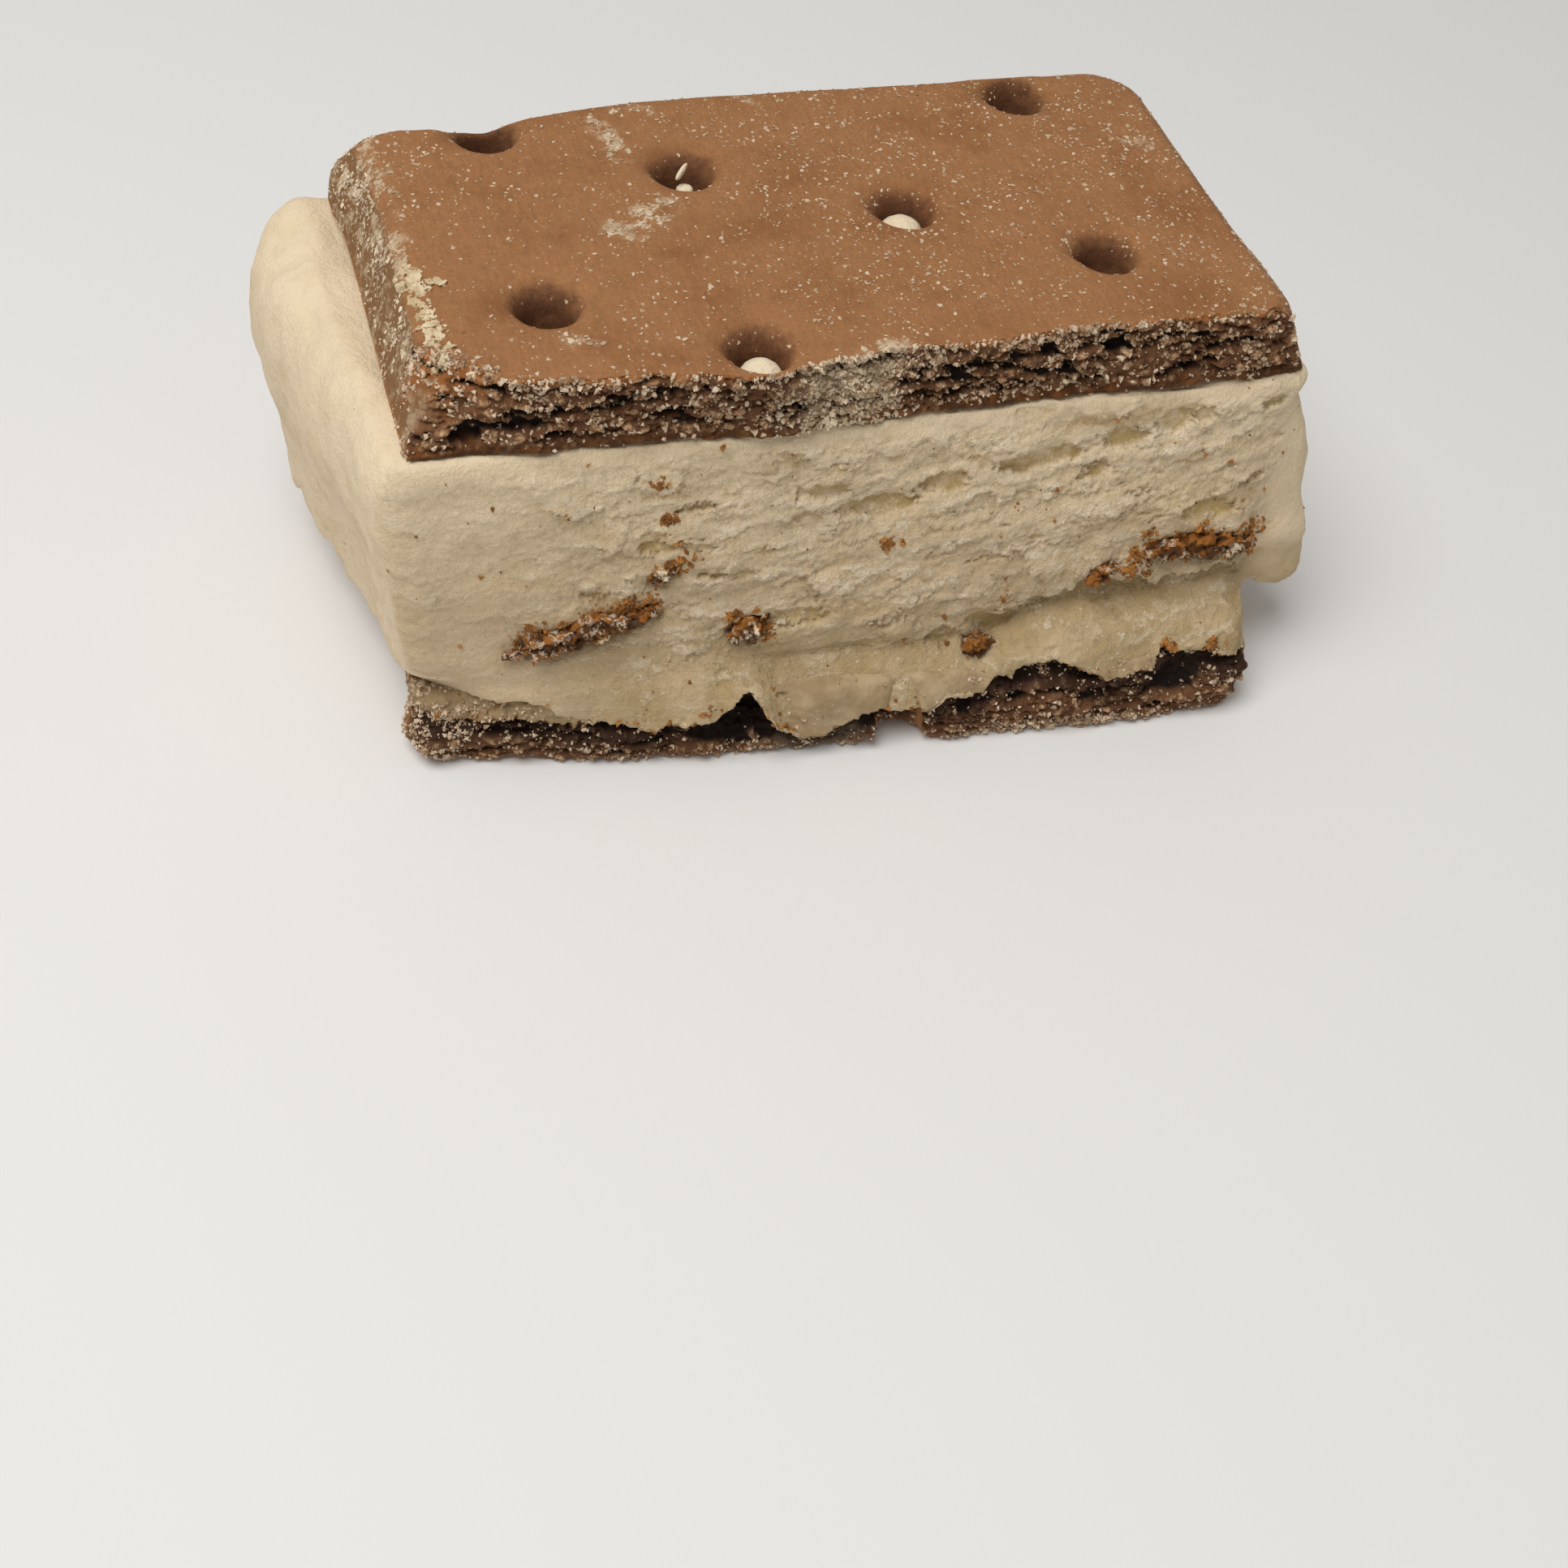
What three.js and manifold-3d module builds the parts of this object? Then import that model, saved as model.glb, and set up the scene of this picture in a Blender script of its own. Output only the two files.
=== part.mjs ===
// Half of an ice cream sandwich: vanilla ice cream with cookie pieces between two chocolate wafers.
// It lies flat. Its left, right and back sides are moulded, and its front is where it was broken in two.
// Millimetres. +Z is up, +Y runs from the broken front to the moulded back, and the origin is the middle
// of the wafers' footprint on the face that the half rests on.

import * as THREE from 'three';
import { ImprovedNoise } from 'three/addons/math/ImprovedNoise.js';
import { mergeVertices } from 'three/addons/utils/BufferGeometryUtils.js';
import Module from 'manifold-3d';

const wasm = await Module();
wasm.setup();

// Driving dimensions
const width = 50; // across both wafers, left to right
const depth = 27; // from the break, where it is upright, to the back edge
const waferThickness = 4.8;
const creamThickness = 16.9;
const waferTaper = 1.7; // how far a wafer's outer face draws in on its moulded sides
const edgeRounding = 0.7; // round where a wafer's outer face meets its sides
const cornerRadius = 3;

const dockRadius = 1.4; // the holes pricked through each wafer
const dockFootRadius = 1.05;
const dockRimRadius = 2.1;
const dockRimDepth = 0.9;
const dockPitch = 5.25; // the pricks lie on a grid of this pitch, two steps over and one down
const plugRadius = 0.75; // ice cream pressed up into a hole
const plugHeights = [0, 0, 2.7, 2.2, 2.8, 0, 0]; // above the ice cream, in the order of dockCentres

const leftLip = 1.5; // ice cream standing out beyond the wafers
const leftLipBack = 5.3;
const rightLobe = 5.1;
const backLip = 0.6;
const lobeFoot = 5.5; // the lobe's lower end, above the resting face

const crumbRelief = 0.34; // roughness of a wafer's broken face
const creamRelief = 0.3; // roughness of the ice cream's broken face
const pieceGap = 0.3; // room round each cookie piece

const creamBottom = waferThickness;
const creamTop = creamBottom + creamThickness;
const totalHeight = creamTop + waferThickness;
const halfWidth = width / 2;
const halfDepth = depth / 2;

// How far the lower end of the break leans forward of its upper end, from left to right.
const breakLean = new THREE.SplineCurve([
  new THREE.Vector2(-25, 0.1),
  new THREE.Vector2(-12.5, 2.3),
  new THREE.Vector2(0, 3.5),
  new THREE.Vector2(12.5, 4.5),
  new THREE.Vector2(25, 4.7),
]);

const noise = new ImprovedNoise();
const { smoothstep, lerp, clamp } = THREE.MathUtils;

// Noise from -1 to 1, whose grain is size millimetres along each axis.
function grain(x, z, sizeX, sizeZ, seed) {
  return noise.noise(x / sizeX + seed, z / sizeZ - seed * 1.7, seed * 3.1 + 0.37);
}

function leanAt(x) {
  const along = clamp((x + halfWidth) / width, 0, 1);
  return breakLean.getPoint(along).y;
}

// A ridge of height 1 at centre that fades to 0 within reach on either side.
function bump(value, centre, reach) {
  return 1 - smoothstep(Math.abs(value - centre), 0, reach);
}

// A rectangle with rounded corners, cut fine along the break and coarser round the moulded sides.
function planOutline(frontSteps, sideSteps, backSteps, frontRadius) {
  const points = [];
  const side = (from, to, steps) => {
    for (let i = 0; i < steps; i++) points.push(from.clone().lerp(to, i / steps));
  };
  const corner = (cx, cy, radius, startAngle, steps) => {
    for (let i = 0; i < steps; i++) {
      const angle = startAngle + (Math.PI / 2) * (i / steps);
      points.push(new THREE.Vector2(cx + radius * Math.cos(angle), cy + radius * Math.sin(angle)));
    }
  };
  const at = (x, y) => new THREE.Vector2(x, y);
  const [w, d, r, f] = [halfWidth, halfDepth, cornerRadius, frontRadius];
  side(at(-w + f, -d), at(w - f, -d), frontSteps);
  corner(w - f, -d + f, f, -Math.PI / 2, 2);
  side(at(w, -d + f), at(w, d - r), sideSteps);
  corner(w - r, d - r, r, 0, 4);
  side(at(w - r, d), at(-w + r, d), backSteps);
  corner(-w + r, d - r, r, Math.PI / 2, 4);
  side(at(-w, d - r), at(-w, -d + f), sideSteps);
  corner(-w + f, -d + f, f, Math.PI, 2);
  return new THREE.Shape(points);
}

// The outline raised in layers from floor to ceiling, with every point then moved by shift(point).
function layeredBlock(outline, floor, ceiling, layers, shift) {
  const block = new THREE.ExtrudeGeometry(outline, {
    depth: ceiling - floor,
    steps: layers,
    bevelEnabled: false,
  });
  block.translate(0, 0, floor);
  const position = block.getAttribute('position');
  const point = new THREE.Vector3();
  for (let i = 0; i < position.count; i++) {
    point.fromBufferAttribute(position, i);
    shift(point);
    position.setXYZ(i, point.x, point.y, point.z);
  }
  return block;
}

// 0 in the middle of the block, 1 on the named side.
const nearLeft = (p) => smoothstep(-p.x, 17, halfWidth);
const nearRight = (p) => smoothstep(p.x, 17, halfWidth);
const nearBack = (p) => smoothstep(p.y, 3, halfDepth);
const nearFront = (p) => smoothstep(-p.y, 3, halfDepth);

function toSolid(geometry) {
  const plain = geometry.clone();
  plain.deleteAttribute('normal');
  plain.deleteAttribute('uv');
  const merged = mergeVertices(plain, 1e-4);
  return new wasm.Manifold(
    new wasm.Mesh({
      numProp: 3,
      vertProperties: new Float32Array(merged.getAttribute('position').array),
      triVerts: new Uint32Array(merged.index.array),
    }),
  );
}

function toGeometry(solid) {
  const mesh = solid.getMesh();
  const geometry = new THREE.BufferGeometry();
  geometry.setAttribute('position', new THREE.BufferAttribute(mesh.vertProperties, 3));
  geometry.setIndex(new THREE.BufferAttribute(mesh.triVerts, 1));
  geometry.computeVertexNormals();
  return geometry;
}

// Where the holes are pricked: columns two pitches apart, each one pitch nearer the break than the column
// before it, with three pitches between the holes of a column. From the left, and front to back.
function dockCentres(firstX, firstY, edgeLimit) {
  const centres = [];
  for (let column = 0; column < 4; column++) {
    for (let row = -2; row <= 2; row++) {
      const x = firstX + 2 * dockPitch * column;
      const y = firstY - dockPitch * column + 3 * dockPitch * row;
      if (y > edgeLimit && y < halfDepth - 1.5) centres.push({ x, y });
    }
  }
  return centres;
}

// A hole's cutter: a straight shaft with a flared rim at its outer end, pointing up from z = 0.
function dockCutter(length) {
  const profile = [
    new THREE.Vector2(0, -0.5),
    new THREE.Vector2(dockFootRadius, -0.5),
    new THREE.Vector2(dockFootRadius, length * 0.3),
    new THREE.Vector2(dockRadius, length - dockRimDepth),
    new THREE.Vector2(lerp(dockRadius, dockRimRadius, 0.35), length - dockRimDepth * 0.35),
    new THREE.Vector2(dockRimRadius, length),
    new THREE.Vector2(dockRimRadius + 0.3, length + 0.6),
    new THREE.Vector2(0, length + 0.6),
  ];
  return new THREE.LatheGeometry(profile, 16).rotateX(Math.PI / 2);
}

// Draws the moulded sides in towards the outer face. outward runs from 0 at the face that lies on the
// ice cream to 1 at the outer face.
function taperSides(p, outward, rightShare, backWave) {
  const rounding = edgeRounding * smoothstep(outward, 0.8, 1) ** 2;
  const inset = waferTaper * outward + rounding;
  const [left, right, back] = [nearLeft(p), nearRight(p), nearBack(p)];
  p.x += left * inset - right * inset * rightShare;
  p.y -= back * (inset + backWave);
}

// The top wafer's break is nearly upright, and its skin is torn back at the front left corner.
function topWaferBlock() {
  const outline = planOutline(48, 6, 12, 0.8);
  return layeredBlock(outline, creamTop, totalHeight, 7, (p) => {
    const outward = (p.z - creamTop) / waferThickness;
    const front = nearFront(p);
    const { x, z } = p;
    const spreadCorner = 0.5 * nearLeft(p) * nearBack(p);
    const backWave = 1.6 * bump(x, -19, 13) * (0.3 + 0.7 * outward);
    taperSides(p, outward, 1, backWave);
    p.x += nearRight(p) * front * (0.5 - 0.2 * outward) - spreadCorner;
    const tornCorner = 2.2 * outward * smoothstep(-x, 19, 25);
    const skinLip = 0.7 * bump(x, -9, 9) * outward + 0.5 * bump(x, -6.5, 4);
    const wave = 0.3 * grain(x, z, 9, 20, 2.3);
    const crumbs = crumbRelief * (grain(x, z, 1.7, 0.9, 5.1) + grain(x, z, 3.1, 1.6, 9.4));
    const ends = 0.9 * smoothstep(x, 23, 25) * outward;
    p.y += front * (0.15 + tornCorner + ends - skinLip + wave + crumbs);
  });
}

// The bottom wafer's break leans forward to the right, with a crumbled upper edge. Its front right corner
// was pressed flat, so it draws in there only a little.
function bottomWaferBlock() {
  const outline = planOutline(48, 6, 12, 1.4);
  return layeredBlock(outline, 0, waferThickness, 7, (p) => {
    const outward = 1 - p.z / waferThickness;
    const front = nearFront(p);
    const { x, y, z } = p;
    taperSides(p, outward, smoothstep(y, -halfDepth, 0), 0);
    const upperEdge = smoothstep(1 - outward, 0.45, 1) * (0.7 + 0.8 * grain(x, z, 4.5, 3, 3.7));
    const brokenVoid = 1.9 * bump(x, -5.8, 2.6) * bump(z, 3.4, 2.2);
    const crumbs = crumbRelief * (grain(x, z, 1.7, 0.9, 7.7) + grain(x, z, 3.3, 1.7, 1.9));
    const foot = 0.4 * smoothstep(outward, 0.75, 1);
    p.y += front * (-leanAt(x) + upperEdge + brokenVoid + crumbs + foot);
  });
}

// The break through the ice cream, as how far it lies behind the plane of the upright break. It is ragged
// and nearly upright above. From the middle to the right a ledge overhangs a hollow, whose floor runs
// forward onto the bottom wafer.
function creamBreak(x, z) {
  const height = (z - creamBottom) / creamThickness;
  const lean = leanAt(x) * (1 - smoothstep(x, 21.2, 22.6));
  const ledge = lerp(6.6, 9.2, smoothstep(x, 5, 15)) + 0.4 * grain(x, 0, 6, 1, 4.4);
  const upperLean = 0.4 * (1 - smoothstep(height, 0.1, 1));
  const footLean = 0.6 * (1 - smoothstep(z, creamBottom, ledge));
  const hollow = (0.7 + 0.3 * lean) * smoothstep(x, -11, -3);
  const underLedge = (1 - smoothstep(z, ledge - 0.6, ledge + 0.4)) * smoothstep(z, creamBottom, ledge - 0.4);
  const overhang = (1 - smoothstep(height, 0, 0.12)) * (1.1 * bump(x, -5, 14) - 0.8 * smoothstep(x, 7, 12));
  const chip = 2.3 * smoothstep(-x, 20, 24.6) * (1 - smoothstep(z, 5.2, 7.2));
  const furrowHeight = 16.5 + 0.17 * x;
  const furrow = 0.8 * bump(z, furrowHeight, 1.5) * bump(x, 5, 12) * (0.6 + grain(x, z, 3, 9, 1.1));
  const layers = creamRelief * 1.3 * grain(x - z * 0.35, z, 8, 2.4, 6.6);
  const crags = creamRelief * (grain(x, z, 2.8, 2.3, 8.2) + 0.7 * grain(x, z, 1.7, 1.9, 2.8));
  const smoothEnds = clamp(smoothstep(x, 22.5, 25) + smoothstep(-x, 16, 25), 0, 1);
  const rough = (1 - 0.7 * smoothEnds) * (1 - 0.5 * underLedge);
  return chip + furrow + (layers + crags) * rough + hollow * underLedge - overhang
    - lean * (upperLean + footLean);
}

// How far the ice cream stands out beyond the wafers on the left, which grows towards the back.
function leftBulge(y, z) {
  const height = (z - creamBottom) / creamThickness;
  const shoulder = 1 - 0.45 * smoothstep(height, 0.9, 1);
  const atFront = lerp(0.2, leftLip, smoothstep(height, 0, 0.8));
  const atBack = leftLipBack * (0.72 + 0.28 * Math.sin(Math.PI * height ** 1.7));
  return lerp(atFront, atBack, smoothstep(y, -halfDepth, halfDepth * 0.7)) * shoulder;
}

// The lobe on the right sags: it is thickest near its foot.
function rightBulge(y, z) {
  const height = (z - creamBottom) / creamThickness;
  const atFront = rightLobe * (1 - clamp((z - 6) / (creamTop - 6.9), 0, 1) ** 1.35);
  const atBack = 2.4 * (1 - 0.6 * smoothstep(height, 0.85, 1)) * (0.75 + 0.25 * bump(height, 0.5, 0.5));
  return lerp(atFront, atBack, smoothstep(y, -halfDepth, halfDepth)) + 0.4 * smoothstep(height, 0.3, 0.9);
}

function creamBlock() {
  const outline = planOutline(60, 8, 12, 1.5);
  return layeredBlock(outline, creamBottom, creamTop, 16, (p) => {
    p.z = creamBottom + creamThickness * ((p.z - creamBottom) / creamThickness) ** 1.25;
    const [left, right, back, front] = [nearLeft(p), nearRight(p), nearBack(p), nearFront(p)];
    const { x, y, z } = p;
    const height = (z - creamBottom) / creamThickness;
    const dents = 0.35 * grain(y, z, 7, 6, 3.3) * (1 - smoothstep(Math.abs(height - 0.5), 0.3, 0.5));
    const backBulge = backLip * (1 - 0.7 * smoothstep(Math.abs(height - 0.5), 0.38, 0.5)) + dents;
    p.x += right * (rightBulge(y, z) + dents) - left * (leftBulge(y, z) + dents);
    p.y += back * (backBulge - 1.4 * left);
    p.z -= 1.2 * left * back * smoothstep(height, 0.75, 1);
    p.y += front * creamBreak(x, z);
  });
}

// The lower right corner of the ice cream broke away under the lobe: a profile seen from the front.
function lostCorner() {
  const inner = halfWidth - 0.3;
  const outer = halfWidth + rightLobe;
  const profile = new THREE.Shape();
  profile.moveTo(inner + 0.3, creamBottom - 1);
  profile.lineTo(inner, lobeFoot + 1.3);
  profile.quadraticCurveTo(inner + 0.2, lobeFoot + 2.2, inner + 1.3, lobeFoot + 1.2);
  profile.quadraticCurveTo(inner + 2.4, lobeFoot, outer - 1.4, lobeFoot);
  profile.quadraticCurveTo(outer - 0.4, lobeFoot + 0.1, outer, lobeFoot + 2.2);
  profile.lineTo(outer + 3, lobeFoot + 2.2);
  profile.lineTo(outer + 3, creamBottom - 1);
  const cutter = new THREE.ExtrudeGeometry(profile, {
    depth: 16,
    steps: 1,
    curveSegments: 4,
    bevelEnabled: false,
  });
  return cutter.rotateX(Math.PI / 2).translate(0, -halfDepth + 5.5, 0);
}

// A broken cookie piece: a knobbly bar, bent upwards by bend and turned by tilt in the plane of the break.
// swell thickens it all over, which gives the hollow that it lies in.
function cookieShape({ length, thickness, tilt, bend, seed, at }, swell) {
  const shape = new THREE.IcosahedronGeometry(1, 3);
  const position = shape.getAttribute('position');
  const half = length / 2;
  const point = new THREE.Vector3();
  for (let i = 0; i < position.count; i++) {
    point.fromBufferAttribute(position, i);
    const knobs = 1 + 0.4 * noise.noise(point.x * 3.7 + seed, point.y * 2.3, point.z * 2.6 - seed);
    const x = point.x * (half * knobs + swell);
    const y = point.y * (thickness * 0.62 * knobs + swell);
    const z = point.z * (thickness * 0.5 * knobs + swell) + bend * (1 - (point.x * point.x)) - bend / 2;
    position.setXYZ(i, x, y, z);
  }
  return shape.rotateY(-tilt).translate(at.x, at.y, at.z);
}

const frontAt = (x, z, inset) => new THREE.Vector3(x, -halfDepth + creamBreak(x, z) + inset, z);

const cookiePieces = {
  cookie_long_left: {
    at: frontAt(-15.3, 9.5, 0.35),
    length: 9.4, thickness: 1.9, tilt: 0.32, bend: 0.2, seed: 1.3,
  },
  cookie_crumb_left: {
    at: frontAt(-11.3, 13.2, 0.25),
    length: 2.3, thickness: 1.0, tilt: 0.75, bend: 0, seed: 2.9,
  },
  cookie_middle: {
    at: frontAt(-6.2, 8.8, 0.25),
    length: 2.6, thickness: 1.4, tilt: 0.5, bend: 0, seed: 4.2,
  },
  cookie_long_right: {
    at: frontAt(20.8, 11.0, 0.35),
    length: 7.6, thickness: 1.5, tilt: -0.1, bend: 0.7, seed: 5.8,
  },
  cookie_short_right: {
    at: frontAt(14.8, 10.2, 0.25),
    length: 2.0, thickness: 1.1, tilt: 0.9, bend: 0, seed: 7.1,
  },
  cookie_low_right: {
    at: frontAt(7.9, 5.9, 0.2),
    length: 1.7, thickness: 1.2, tilt: 0.4, bend: 0, seed: 8.6,
  },
};

// Ice cream standing in a hole of the top wafer: a round column with a domed end.
function plugShape(height) {
  const dome = plugRadius * 0.45;
  const profile = [
    new THREE.Vector2(0, -1),
    new THREE.Vector2(plugRadius, -1),
    new THREE.Vector2(plugRadius, height - dome),
    new THREE.Vector2(plugRadius * 0.72, height - dome * 0.3),
    new THREE.Vector2(0, height),
  ];
  return new THREE.LatheGeometry(profile, 12).rotateX(Math.PI / 2);
}

const topDocks = dockCentres(-16.7, 8.8, -12.8);

function topWafer() {
  let solid = toSolid(topWaferBlock());
  for (const { x, y } of topDocks) {
    const cutter = dockCutter(waferThickness).translate(x, y, creamTop);
    solid = solid.subtract(toSolid(cutter));
  }
  return solid;
}

function bottomWafer() {
  let solid = toSolid(bottomWaferBlock());
  for (const { x, y } of dockCentres(-18, -6.5, -18)) {
    const cutter = dockCutter(waferThickness).rotateX(Math.PI).translate(x, y, waferThickness);
    solid = solid.subtract(toSolid(cutter));
  }
  return solid;
}

function iceCream() {
  let solid = toSolid(creamBlock());
  for (const [i, { x, y }] of topDocks.entries()) {
    if (plugHeights[i] === 0) continue;
    solid = solid.add(toSolid(plugShape(plugHeights[i]).translate(x, y, creamTop)));
  }
  solid = solid.subtract(toSolid(lostCorner()));
  for (const piece of Object.values(cookiePieces)) {
    solid = solid.subtract(toSolid(cookieShape(piece, pieceGap)));
  }
  return solid;
}

const waferMaterial = new THREE.MeshStandardMaterial({ color: 0x8a5c3e, roughness: 0.85, metalness: 0 });
const creamMaterial = new THREE.MeshStandardMaterial({ color: 0xe0cfa8, roughness: 0.7, metalness: 0 });
const cookieMaterial = new THREE.MeshStandardMaterial({ color: 0x5a2e14, roughness: 0.9, metalness: 0 });

const sandwich = new THREE.Group();

function addNode(name, geometry, material) {
  const mesh = new THREE.Mesh(geometry, material);
  mesh.name = name;
  sandwich.add(mesh);
}

addNode('top_wafer', toGeometry(topWafer()), waferMaterial);
addNode('ice_cream', toGeometry(iceCream()), creamMaterial);
addNode('bottom_wafer', toGeometry(bottomWafer()), waferMaterial);
for (const [name, piece] of Object.entries(cookiePieces)) {
  addNode(name, cookieShape(piece, 0), cookieMaterial);
}

export default sandwich;
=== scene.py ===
import bpy
import numpy as np
from mathutils import Matrix, Vector


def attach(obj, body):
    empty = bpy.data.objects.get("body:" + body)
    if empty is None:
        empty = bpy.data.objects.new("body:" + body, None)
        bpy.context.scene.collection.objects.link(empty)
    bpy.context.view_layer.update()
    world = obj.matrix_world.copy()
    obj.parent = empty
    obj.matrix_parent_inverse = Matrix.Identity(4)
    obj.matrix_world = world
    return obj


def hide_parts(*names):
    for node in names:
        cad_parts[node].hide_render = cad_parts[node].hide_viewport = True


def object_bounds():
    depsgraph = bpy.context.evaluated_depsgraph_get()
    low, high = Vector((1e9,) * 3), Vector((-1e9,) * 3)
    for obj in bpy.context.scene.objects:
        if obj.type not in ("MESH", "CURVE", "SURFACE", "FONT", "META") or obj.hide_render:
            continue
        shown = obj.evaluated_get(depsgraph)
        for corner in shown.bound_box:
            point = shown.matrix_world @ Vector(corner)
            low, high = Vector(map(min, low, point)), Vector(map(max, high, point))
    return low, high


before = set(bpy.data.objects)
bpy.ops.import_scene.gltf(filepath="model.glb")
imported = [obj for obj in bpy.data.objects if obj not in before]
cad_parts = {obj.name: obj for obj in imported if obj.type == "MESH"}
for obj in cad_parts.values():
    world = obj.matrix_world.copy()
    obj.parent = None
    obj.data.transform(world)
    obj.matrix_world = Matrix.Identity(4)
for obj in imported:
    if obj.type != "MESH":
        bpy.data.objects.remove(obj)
cadBox = [list(corner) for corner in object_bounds()]
mm = 0.001


def pick(piece):
    bpy.ops.object.select_all(action="DESELECT")
    piece.select_set(True)
    bpy.context.view_layer.objects.active = piece


def bakeModifiers(piece):
    pick(piece)
    for name in [modifier.name for modifier in piece.modifiers]:
        bpy.ops.object.modifier_apply(modifier=name)


def addModifier(piece, kind, **settings):
    modifier = piece.modifiers.new(kind.lower(), kind)
    for name, value in settings.items():
        setattr(modifier, name, value)
    return modifier


def addObject(name, data):
    added = bpy.data.objects.new(name, data)
    bpy.context.scene.collection.objects.link(added)
    return added


def readVectors(items, name):
    values = np.empty(len(items) * 3, np.float32)
    items.foreach_get(name, values)
    return values.reshape(-1, 3)


def storeValues(mesh, name, values):
    mesh.attributes.new(name, "FLOAT", "POINT").data.foreach_set("value", values)


def setMode(mode):
    bpy.ops.object.mode_set(mode=mode)


# Leaves edit mode on, with only the chosen vertices or polygons selected.
def editOnly(mesh, kind, chosen):
    bpy.context.tool_settings.mesh_select_mode = (kind == "vertices", False, kind == "polygons")
    setMode("EDIT")
    bpy.ops.mesh.select_all(action="DESELECT")
    setMode("OBJECT")
    getattr(mesh, kind).foreach_set("select", chosen)
    setMode("EDIT")


# A piece that starts from the CAD node's own shape, with its loose triangles joined.
def pieceFromNode(node, name):
    piece = addObject(name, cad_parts[node].data.copy())
    piece.data.materials.clear()
    pick(piece)
    setMode("EDIT")
    bpy.ops.mesh.select_all(action="SELECT")
    bpy.ops.mesh.remove_doubles(threshold=0.002 * mm)
    setMode("OBJECT")
    return piece


# Even little faces all over, so that the facets of the CAD shape soften.
def soften(piece, voxel, rounds):
    addModifier(piece, "REMESH", mode="VOXEL", voxel_size=voxel, adaptivity=0)
    addModifier(piece, "SMOOTH", factor=0.5, iterations=rounds)
    bakeModifiers(piece)


# Finer faces in the break, for its crumbs and crags.
def refineBreak(piece, behind, cuts):
    faces = piece.data.polygons
    inFront = readVectors(faces, "center")[:, 1] < behind
    facing = readVectors(faces, "normal")[:, 1] < -0.1
    pick(piece)
    editOnly(piece.data, "polygons", inFront & facing)
    bpy.ops.mesh.subdivide(number_cuts=cuts, smoothness=0)
    setMode("OBJECT")


def shadeSmooth(piece):
    pick(piece)
    bpy.ops.object.shade_smooth()


# A node tree, for a shape or a material.
class Graph:
    def __init__(self, tree):
        self.tree = tree
        self.end = None

    def add(self, kind, sockets=None, **settings):
        node = self.tree.nodes.new(kind)
        for name, value in settings.items():
            setattr(node, name, value)
        for key, value in (sockets or {}).items():
            if isinstance(value, Field):
                self.tree.links.new(value.socket, node.inputs[key])
            else:
                node.inputs[key].default_value = value
        return node

    def field(self, kind, sockets=None, output=0, **settings):
        return Field(self, self.add(kind, sockets, **settings).outputs[output])

    def fields(self, kind, sockets=None):
        return {output.name: Field(self, output) for output in self.add(kind, sockets).outputs}

    def recall(self, name):
        return self.field("GeometryNodeInputNamedAttribute", {"Name": name}, "Attribute", data_type="FLOAT")

    def surface(self, name):
        return self.field("ShaderNodeAttribute", output="Fac", attribute_name=name)

    def finish(self, **results):
        for label, result in results.items():
            self.tree.links.new(result.socket, self.end.inputs[label])
        return self.tree


# What flows through a node tree. Sums with it add nodes.
class Field:
    def __init__(self, graph, socket):
        self.graph = graph
        self.socket = socket

    def __add__(self, other):
        return combine("ADD", self, other)

    def __mul__(self, other):
        return combine("MULTIPLY", self, other)

    def __sub__(self, other):
        return combine("SUBTRACT", self, other)

    def __rsub__(self, other):
        return combine("SUBTRACT", other, self)

    def __truediv__(self, other):
        return combine("DIVIDE", self, other)

    def __rtruediv__(self, other):
        return combine("DIVIDE", other, self)

    def __abs__(self):
        return combine("ABSOLUTE", self, 0)

    __radd__ = __add__
    __rmul__ = __mul__


def combine(operation, a, b):
    graph = a.graph if isinstance(a, Field) else b.graph
    return graph.field("ShaderNodeMath", {0: a, 1: b}, operation=operation)


def maximum(*values):
    total = values[0]
    for value in values[1:]:
        total = combine("MAXIMUM", total, value)
    return total


# 0 at low, 1 at high, with soft ends. low may be the larger of the two.
def step(value, low, high):
    sockets = {"Value": value, "From Min": low, "From Max": high, "To Min": 0, "To Max": 1}
    return value.graph.field("ShaderNodeMapRange", sockets, "Result", interpolation_type="SMOOTHSTEP")


# 1 at centre, 0 at reach on either side.
def bump(value, centre, reach):
    return step(abs(value - centre), reach, 0)


def onVector(operation, vector, other, output=0):
    sockets = {0: vector, "Scale" if operation == "SCALE" else 1: other}
    return vector.graph.field("ShaderNodeVectorMath", sockets, output, operation=operation)


def stretch(vector, *factors):
    return onVector("MULTIPLY", vector, factors)


def shift(vector, *offsets):
    return onVector("ADD", vector, offsets)


def scaled(vector, amount):
    return onVector("SCALE", vector, amount)


def length(vector):
    return onVector("LENGTH", vector, (0, 0, 0), "Value")


def split(vector):
    return list(vector.graph.fields("ShaderNodeSeparateXYZ", {0: vector}).values())


def joined(graph, x, y, z):
    return graph.field("ShaderNodeCombineXYZ", {"X": x, "Y": y, "Z": z})


# 0 to 1, mostly near 0.5.
def noise(vector, scale, detail=2, roughness=0.5, output=0):
    sockets = {"Vector": vector, "Scale": scale, "Detail": detail, "Roughness": roughness}
    return vector.graph.field("ShaderNodeTexNoise", sockets, output)


# The same, from -0.5 to 0.5.
def sway(vector, scale, detail=2, roughness=0.5):
    return noise(vector, scale, detail, roughness) - 0.5


def cells(vector, scale):
    return vector.graph.fields("ShaderNodeTexVoronoi", {"Vector": vector, "Scale": scale})


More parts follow.
